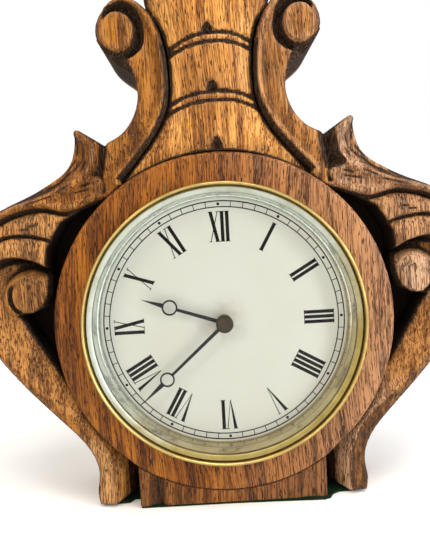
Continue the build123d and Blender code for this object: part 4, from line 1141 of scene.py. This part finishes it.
def base_surface(points):
    """A flat block with a scooped flute near each end, crisp on its inner side."""
    x, z = points.T
    away = np.abs(x)
    rise = np.clip((FLUTE_TOP - z) / 6.0, 0, 1)
    width = (FLUTE_SOFT - FLUTE_EDGE) * np.sqrt(rise) * (0.85 + 0.15 * rise)
    inner = FLUTE_EDGE + 1.8 * (1 - rise)
    share = np.clip((away - inner) / np.maximum(width, 0.01), 0, 1)
    scoop = np.where((share > 0) & (share < 1), np.sin(pi * share**0.55), 0) * np.where(x < 0, 1.0, 0.35)
    reach = np.hypot(x, z) - RIM_RADIUS
    corner = BASE_HALF - away
    height = -BASE_FRONT - 1.7 * scoop * np.sqrt(rise) - 1.6 * rounded(np.abs(reach), 0.5)
    height += 0.05 * ripple(points, 3.4, 77.0) - rounded(corner, 0.9)
    # a dark line along the joint with the disc, darker near the middle; the flute is painted darker as shade
    # in it, and the corners a little
    dark_by_disc = bump(reach, 0.55) * (0.75 + 0.25 * step_up(10 - np.abs(x - 6), -14, 8))
    return height, highest(0.55 * scoop * (share < 0.75) * rise, dark_by_disc, 0.35 * bump(corner, 0.8)), 0.0


def carved_base():
    shell = Shell()
    bottom = straight((-BASE_HALF, FLOOR), (BASE_HALF, FLOOR))
    up = straight((BASE_HALF, FLOOR), (BASE_HALF, BASE_TOP))
    hollow = arc(RIM_RADIUS, atan2(BASE_TOP, BASE_HALF), atan2(BASE_TOP, -BASE_HALF))
    down = straight((-BASE_HALF, BASE_TOP), (-BASE_HALF, FLOOR))
    loop = joined(bottom, up, hollow, down)
    front, marks = carved_face(shell, loop, base_surface, MEDIUM)
    first = len(bottom) + len(up) - 2
    last = first + len(hollow) - 1
    outside = stretch_of(front, marks, np.arange(last, len(loop) + first + 1))
    shell.flank(outside, outside[0][:, [0, 2]], WOOD_BACK, (0.05, 0.3, 0.6, 0.98, 1.0), 0.2)
    under = stretch_of(front, marks, np.arange(first, last + 1))
    flat = under[0][:, [0, 2]]
    inner = flat * SEAT_RADIUS / RIM_RADIUS
    shell.rabbet(under, inner, (WOOD_BACK, 0.3))
    for end in (0, -1):
        shell.cheek(flat[end], inner[end], WOOD_BACK, 0.5)
    back = joined(bottom, up, straight(up[-1], inner[0]), inner, straight(inner[-1], down[0]), down)
    shell.sheet(back, WOOD_BACK, 0.15, spacing=2.2)
    return shell.build("carved_base", OAK_BASE)


FELT_FRONT = [  # the sheet's front edge, from the left foot to the right one, as (x, depth)
    (-53.6, 9.0), (-48.4, 0.6), (-42.6, 0.8), (-40.8, 3.4), (-38.6, 3.4), (-37.2, -3.9), (0.0, -4.2),
    (14.0, -4.6), (30.0, -5.3), (36.0, -5.5), (38.4, -4.6), (40.4, -1.6), (43.0, 0.0),
    (48.6, 0.3), (54.2, 9.0),
]


def cut_felt():
    """The baize under the base and both feet, cut by hand a little proud at the right."""
    back = depth_of(felt_high.y)
    corners = [*FELT_FRONT, (54.0, back), (-53.8, back)]
    edge = np.concatenate([straight(a, b, 1.0)[:-1] for a, b in zip(corners, corners[1:] + corners[:1])])
    wavy = [(noise.noise(Vector((x, y, 3.0))), noise.noise(Vector((y, x, 9.0)))) for x, y in edge]
    edge += 0.16 * np.array(wavy)
    points, faces = triangulate(edge, 2.0)
    ring = closed(edge)
    shell = Shell()
    rows = []
    for level in (FELT_BOTTOM, FLOOR):
        shell.add(np.column_stack((points, np.full(len(points), level))), faces, (0, 0))
        rows.append((np.column_stack((ring, np.full(len(ring), level))), np.zeros((len(ring), 2))))
    shell.wall(rows)
    area = 0.5 * abs(np.sum(ring[:-1, 0] * ring[1:, 1] - ring[1:, 0] * ring[:-1, 1]))
    return shell.build("baize_sheet", BAIZE), (edge.max(0) - edge.min(0)) * MM, area * MM * MM


stand_in(turned_disc(), "dial_disc")
stand_in(carved_base(), "base_block")
felt, felt_size, felt_area = cut_felt()
stand_in(felt, "felt_pad")


# ---------------------------------------------------------------- bezel, dial and hands
def lathe(name, profile, *materials, other_from=None, steps=360, sharp=35.0):
    """A closed profile of (radius, depth) turned round the hands' axis. The second material, if there
    is one, covers it from one point of the profile on."""
    shell = Shell()
    _, towards = circle(1.0, steps)
    rings = [row(towards * radius, depth) for radius, depth in profile]
    split = len(profile) if other_from is None else other_from
    shell.wall([*rings, rings[0]][: split + 1], is_ring=True)
    shell.wall([*rings, rings[0]][split:], slot=1, is_ring=True)
    return shell.build(name, *materials, sharp=sharp)


def bead(middle, half_width, foot, crest, steps=14):
    """Profile points over a half-round bead, from its outer side to its inner side."""
    across = np.linspace(-1, 1, steps + 1)
    return [(middle - half_width * c, foot - (foot - crest) * sqrt(max(0.0, 1 - c * c))) for c in across]


BEAD_HALF = 0.80
GROOVE_DEPTH = -8.2
LIP_PROFILE = ((2.15, -9.9), (2.35, -10.1), (3.90, -9.8), (4.15, -9.5), (3.4, -9.3), (3.4, SCREEN_FRONT))
bezel_profile = [(BEZEL_RADIUS, SCREEN_FRONT), *bead(BEZEL_RADIUS - BEAD_HALF, BEAD_HALF, -9.3, BEZEL_FRONT)]
bezel_profile += [(BEZEL_RADIUS - inset, GROOVE_DEPTH) for inset in (1.75, 2.10)]
lip_from = len(bezel_profile) - 1  # from here on the lathe work is dull brass with painted reflection
bezel_profile += [(BEZEL_RADIUS - inset, depth) for inset, depth in LIP_PROFILE]
bezel = lathe("brass_bezel", bezel_profile, AGED_BRASS, DULL_PAINTED_REFLECTION_BRASS, other_from=lip_from, sharp=50.0)
stand_in(bezel, "bezel")

RING_PROFILE = [(48.9, 0.0), (49.55, -3.5), (49.95, -3.7), (49.95, -4.3), (49.75, -4.5), (50.35, -7.5)]
RING_PROFILE += [(50.6, -8.0), (51.2, -8.0), (51.1, -6.8), (49.9, 0.0)]
sight_ring = lathe("stepped_sight_ring", RING_PROFILE, PAINTED_REFLECTION_BRASS, sharp=30.0)
stand_in(sight_ring, "sight_ring")

TRACK_OUTER, TRACK_OUTER_WIDTH = 47.96, 0.48
TRACK_INNER, TRACK_INNER_WIDTH = 45.64, 0.42
TICK_HALF = 0.15
DOT_RADIUS = 0.58
NUMERAL_TOP = 43.9
NUMERAL_FOOT = 31.9
STEM = 1.36
LETTER_GAP = 0.62
HAIRLINE = 0.33
OVERHANG = 0.30  # how far a serif passes its stem
SERIF = 0.022  # a serif's height as a share of the numeral's
INK_THICK = 0.06
INK_SUNK = 0.02
HOUR_NAMES = ("XII", "I", "II", "III", "IIII", "V", "VI", "VII", "VIII", "IX", "X", "XI")
FULL_SERIF = (-OVERHANG, STEM + OVERHANG)
LETTERS = {  # width, strokes as (left, right) at the foot and at the top, serifs as (level, (left, right))
    "I": (STEM, [((0, STEM), (0, STEM))], [(0, FULL_SERIF), (1, FULL_SERIF)]),
    "V": (4.1, [((2.25, 2.49), (0, STEM)), ((2.30, 2.49), (4.1 - HAIRLINE, 4.1))],
          [(1, FULL_SERIF), (1, (3.25, 4.45))]),
    "X": (3.9, [((3.9 - STEM, 3.9), (0, STEM)), ((0.30, 0.30 + HAIRLINE), (3.65 - HAIRLINE, 3.65))],
          [(0, (-0.25, 1.05)), (0, (3.6 - STEM, 4.2)), (1, FULL_SERIF), (1, (2.8, 4.15))]),
}


class Inked:
    """Flat ink shapes a hair's breadth thick, standing on the dial."""

    def __init__(self):
        self.points = []
        self.faces = []

    def shape(self, outline):
        """Adds a convex outline of (x, z)."""
        count, first = len(outline), len(self.points)
        for depth in (INK_SUNK, -INK_THICK):
            self.points += [to_frame(x, depth, z) for x, z in outline]
        self.faces.append([first + i for i in range(count)])
        self.faces.append([first + count + i for i in reversed(range(count))])
        for i in range(count):
            after = (i + 1) % count
            self.faces.append([first + i, first + after, first + count + after, first + count + i])

    def ring(self, radius, width, steps=240):
        for i in range(steps):
            ends = [2 * pi * (i + k) / steps for k in (0, 1)]
            corners = [(radius - width / 2, t) for t in ends] + [(radius + width / 2, t) for t in ends[::-1]]
            self.shape([(r * cos(t), r * sin(t)) for r, t in corners])

    def build(self, name):
        piece = mesh_piece(name, self.points, self.faces, INK, weld=1e-7)
        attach(piece, "case")


def upright(clock_share):
    """Directions outwards and to the right of it, at a share of the way round the dial."""
    turn = pi / 2 - 2 * pi * clock_share
    up = np.array((cos(turn), sin(turn)))
    return up, np.array((up[1], -up[0]))


def numeral_strokes(text):
    """Outlines of (across, up), up from 0 at the foot to 1 at the top, and the whole width."""
    outlines = []
    left = 0.0
    for letter in text:
        width, strokes, serifs = LETTERS[letter]
        spans = [(0, foot, 1, top) for foot, top in strokes]
        spans += [(max(level - SERIF, 0), span, min(level + SERIF, 1), span) for level, span in serifs]
        for low, foot, high, top in spans:
            corners = ((foot[0], low), (foot[1], low), (top[1], high), (top[0], high))
            outlines.append([(left + across, level) for across, level in corners])
        left += width + LETTER_GAP
    return outlines, left - LETTER_GAP


def hour_numerals():
    ink = Inked()
    for hour, text in enumerate(HOUR_NAMES):
        up, right = upright(hour / 12)
        outlines, width = numeral_strokes(text)
        for outline in outlines:
            ink.shape([
                up * (NUMERAL_FOOT + (NUMERAL_TOP - NUMERAL_FOOT) * rise) + right * (across - width / 2)
                for across, rise in outline
            ])
    ink.build("hour_numerals")


def minute_track():
    ink = Inked()
    ink.ring(TRACK_OUTER, TRACK_OUTER_WIDTH)
    ink.ring(TRACK_INNER, TRACK_INNER_WIDTH)
    for minute in range(60):
        up, right = upright(minute / 60)
        if minute % 5:
            low, high, half = up * TRACK_INNER, up * TRACK_OUTER, right * TICK_HALF
            ink.shape([low + half, low - half, high - half, high + half])
        else:
            middle = up * (TRACK_INNER + TRACK_OUTER) / 2
            ink.shape(middle + circle(DOT_RADIUS, 18)[1])
    ink.build("minute_track")


hour_numerals()
minute_track()

boss_radius = (boss_high.x - boss_low.x) / 2 / MM
boss_front, boss_back = depth_of(boss_low.y), depth_of(boss_high.y)
BOSS_DISHING = ((0.0, 0.7), (0.2, 0.25), (0.7, 0.0), (0.95, 0.05), (1.1, 0.4))  # inset and depth
boss_profile = [(0.0, boss_back), (boss_radius, boss_back)]
boss_profile += [(boss_radius - inset, boss_front + sunk) for inset, sunk in BOSS_DISHING]
boss_profile += [(1.2, boss_front + 0.55), (0.0, boss_front + 0.6)]
boss = lathe("collet", boss_profile, BRONZE, steps=72, sharp=40.0)
stand_in(boss, "hand_boss", "minute_body")


# ---------------------------------------------------------------- finishes of the pieces kept as they are
FINISHES = {
    WHITE: "dial",
    CRYSTAL: "glass",
    BLUED: "hour_hand minute_hand",
    COVER_BRASS: "back_cover rear_ring drum_can",
    PLATE_BRASS: "front_plate back_plate pillars barrel barrel_cover centre_wheel third_wheel fourth_wheel "
                 "escape_wheel cannon_pinion minute_wheel hour_wheel balance balance_cock setting_knob "
                 "dial_feet",
    SPRING_STEEL: "mainspring hairspring click_spring",
    STEEL: "base_screws rear_ring_screws pillar_screws click_screw cock_screw winding_arbor ratchet_wheel "
           "click winding_key centre_arbor pallet_lever regulator minute_post",
    OAK_BASE: "wing_dowels crest_dowel",
}
for finish, names in FINISHES.items():
    for name in names.split():
        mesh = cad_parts[name].data
        mesh.materials.clear()
        mesh.materials.append(finish)


# ---------------------------------------------------------------- floor, light and camera
FLOOR_REACH = 2.0
LAMPS = (  # name, place from the hands' axis in metres, size, power, colour
    ("window_left", (-0.70, -0.60, 0.60), (0.6, 0.6), 5.5, (1.0, 0.86, 0.66)),
    ("window_top", (0.10, -0.35, 0.95), (0.7, 0.5), 7.5, (1.0, 0.98, 0.94)),
    ("lamp_right", (0.75, -0.45, 0.25), (0.5, 0.5), 8.0, (0.97, 0.98, 1.0)),
)
CAMERA_PLACE = (-3.40, -205.33, 36.48)  # from the hands' axis, in millimetres
CAMERA_RIGHT = (0.99837, -0.00844, -0.05647)
CAMERA_UP = (0.05694, 0.07267, 0.99573)
CAMERA_BACK = (-0.0043, -0.9973, 0.0730)
FOCAL_LENGTH = 34.86


def added(name, data):
    made = bpy.data.objects.new(name, data)
    bpy.context.scene.collection.objects.link(made)
    return made


def stage():
    mesh = bpy.data.meshes.new("floor")
    corners = [(FLOOR_REACH * x, FLOOR_REACH * y, 0) for x, y in ((-1, -1), (1, -1), (1, 1), (-1, 1))]
    mesh.from_pydata(corners, [], [(0, 1, 2, 3)])
    pale = bpy.data.materials.new("pale_floor")
    pale.use_nodes = True
    shader = pale.node_tree.nodes["Principled BSDF"]
    shader.inputs["Base Color"].default_value = (0.86, 0.86, 0.85, 1)
    shader.inputs["Roughness"].default_value = 0.6
    mesh.materials.append(pale)
    added("floor", mesh)


def lamp(name, offset, size, power, colour):
    data = bpy.data.lights.new(name, "AREA")
    data.shape = "RECTANGLE"
    data.size, data.size_y = size
    data.energy = power
    data.color = colour
    light = added(name, data)
    light.location = AXIS + Vector(offset)
    light.rotation_euler = (-Vector(offset)).to_track_quat("-Z", "Y").to_euler()


def pale_room():
    """Even light that is dimmer from the front, so that the glass and the varnish keep some depth."""
    world = bpy.data.worlds.new("pale_room")
    world.use_nodes = True
    tree = world.node_tree
    place = tree.nodes.new("ShaderNodeTexCoord")
    parts = tree.nodes.new("ShaderNodeSeparateXYZ")
    tree.links.new(place.outputs["Generated"], parts.inputs["Vector"])
    strength = tree.nodes.new("ShaderNodeMapRange")
    tree.links.new(parts.outputs["Y"], strength.inputs["Value"])
    for end, value in (("From Min", -0.6), ("From Max", 0.5), ("To Min", 0.42), ("To Max", 1.0)):
        strength.inputs[end].default_value = value
    background = tree.nodes["Background"]
    background.inputs["Color"].default_value = (1.0, 1.0, 1.0, 1)
    tree.links.new(strength.outputs["Result"], background.inputs["Strength"])
    bpy.context.scene.world = world


def camera():
    data = bpy.data.cameras.new("camera")
    data.lens = FOCAL_LENGTH
    data.sensor_width = 36.0
    data.sensor_fit = "AUTO"
    data.clip_start = 0.01
    data.clip_end = 10.0
    made = added("camera", data)
    turned = Matrix((CAMERA_RIGHT, CAMERA_UP, CAMERA_BACK)).transposed().to_4x4()
    made.matrix_world = Matrix.Translation(to_frame(*CAMERA_PLACE)) @ turned
    bpy.context.scene.camera = made


stage()
for settings in LAMPS:
    lamp(*settings)
pale_room()
camera()
bpy.context.scene.view_settings.view_transform = "Standard"
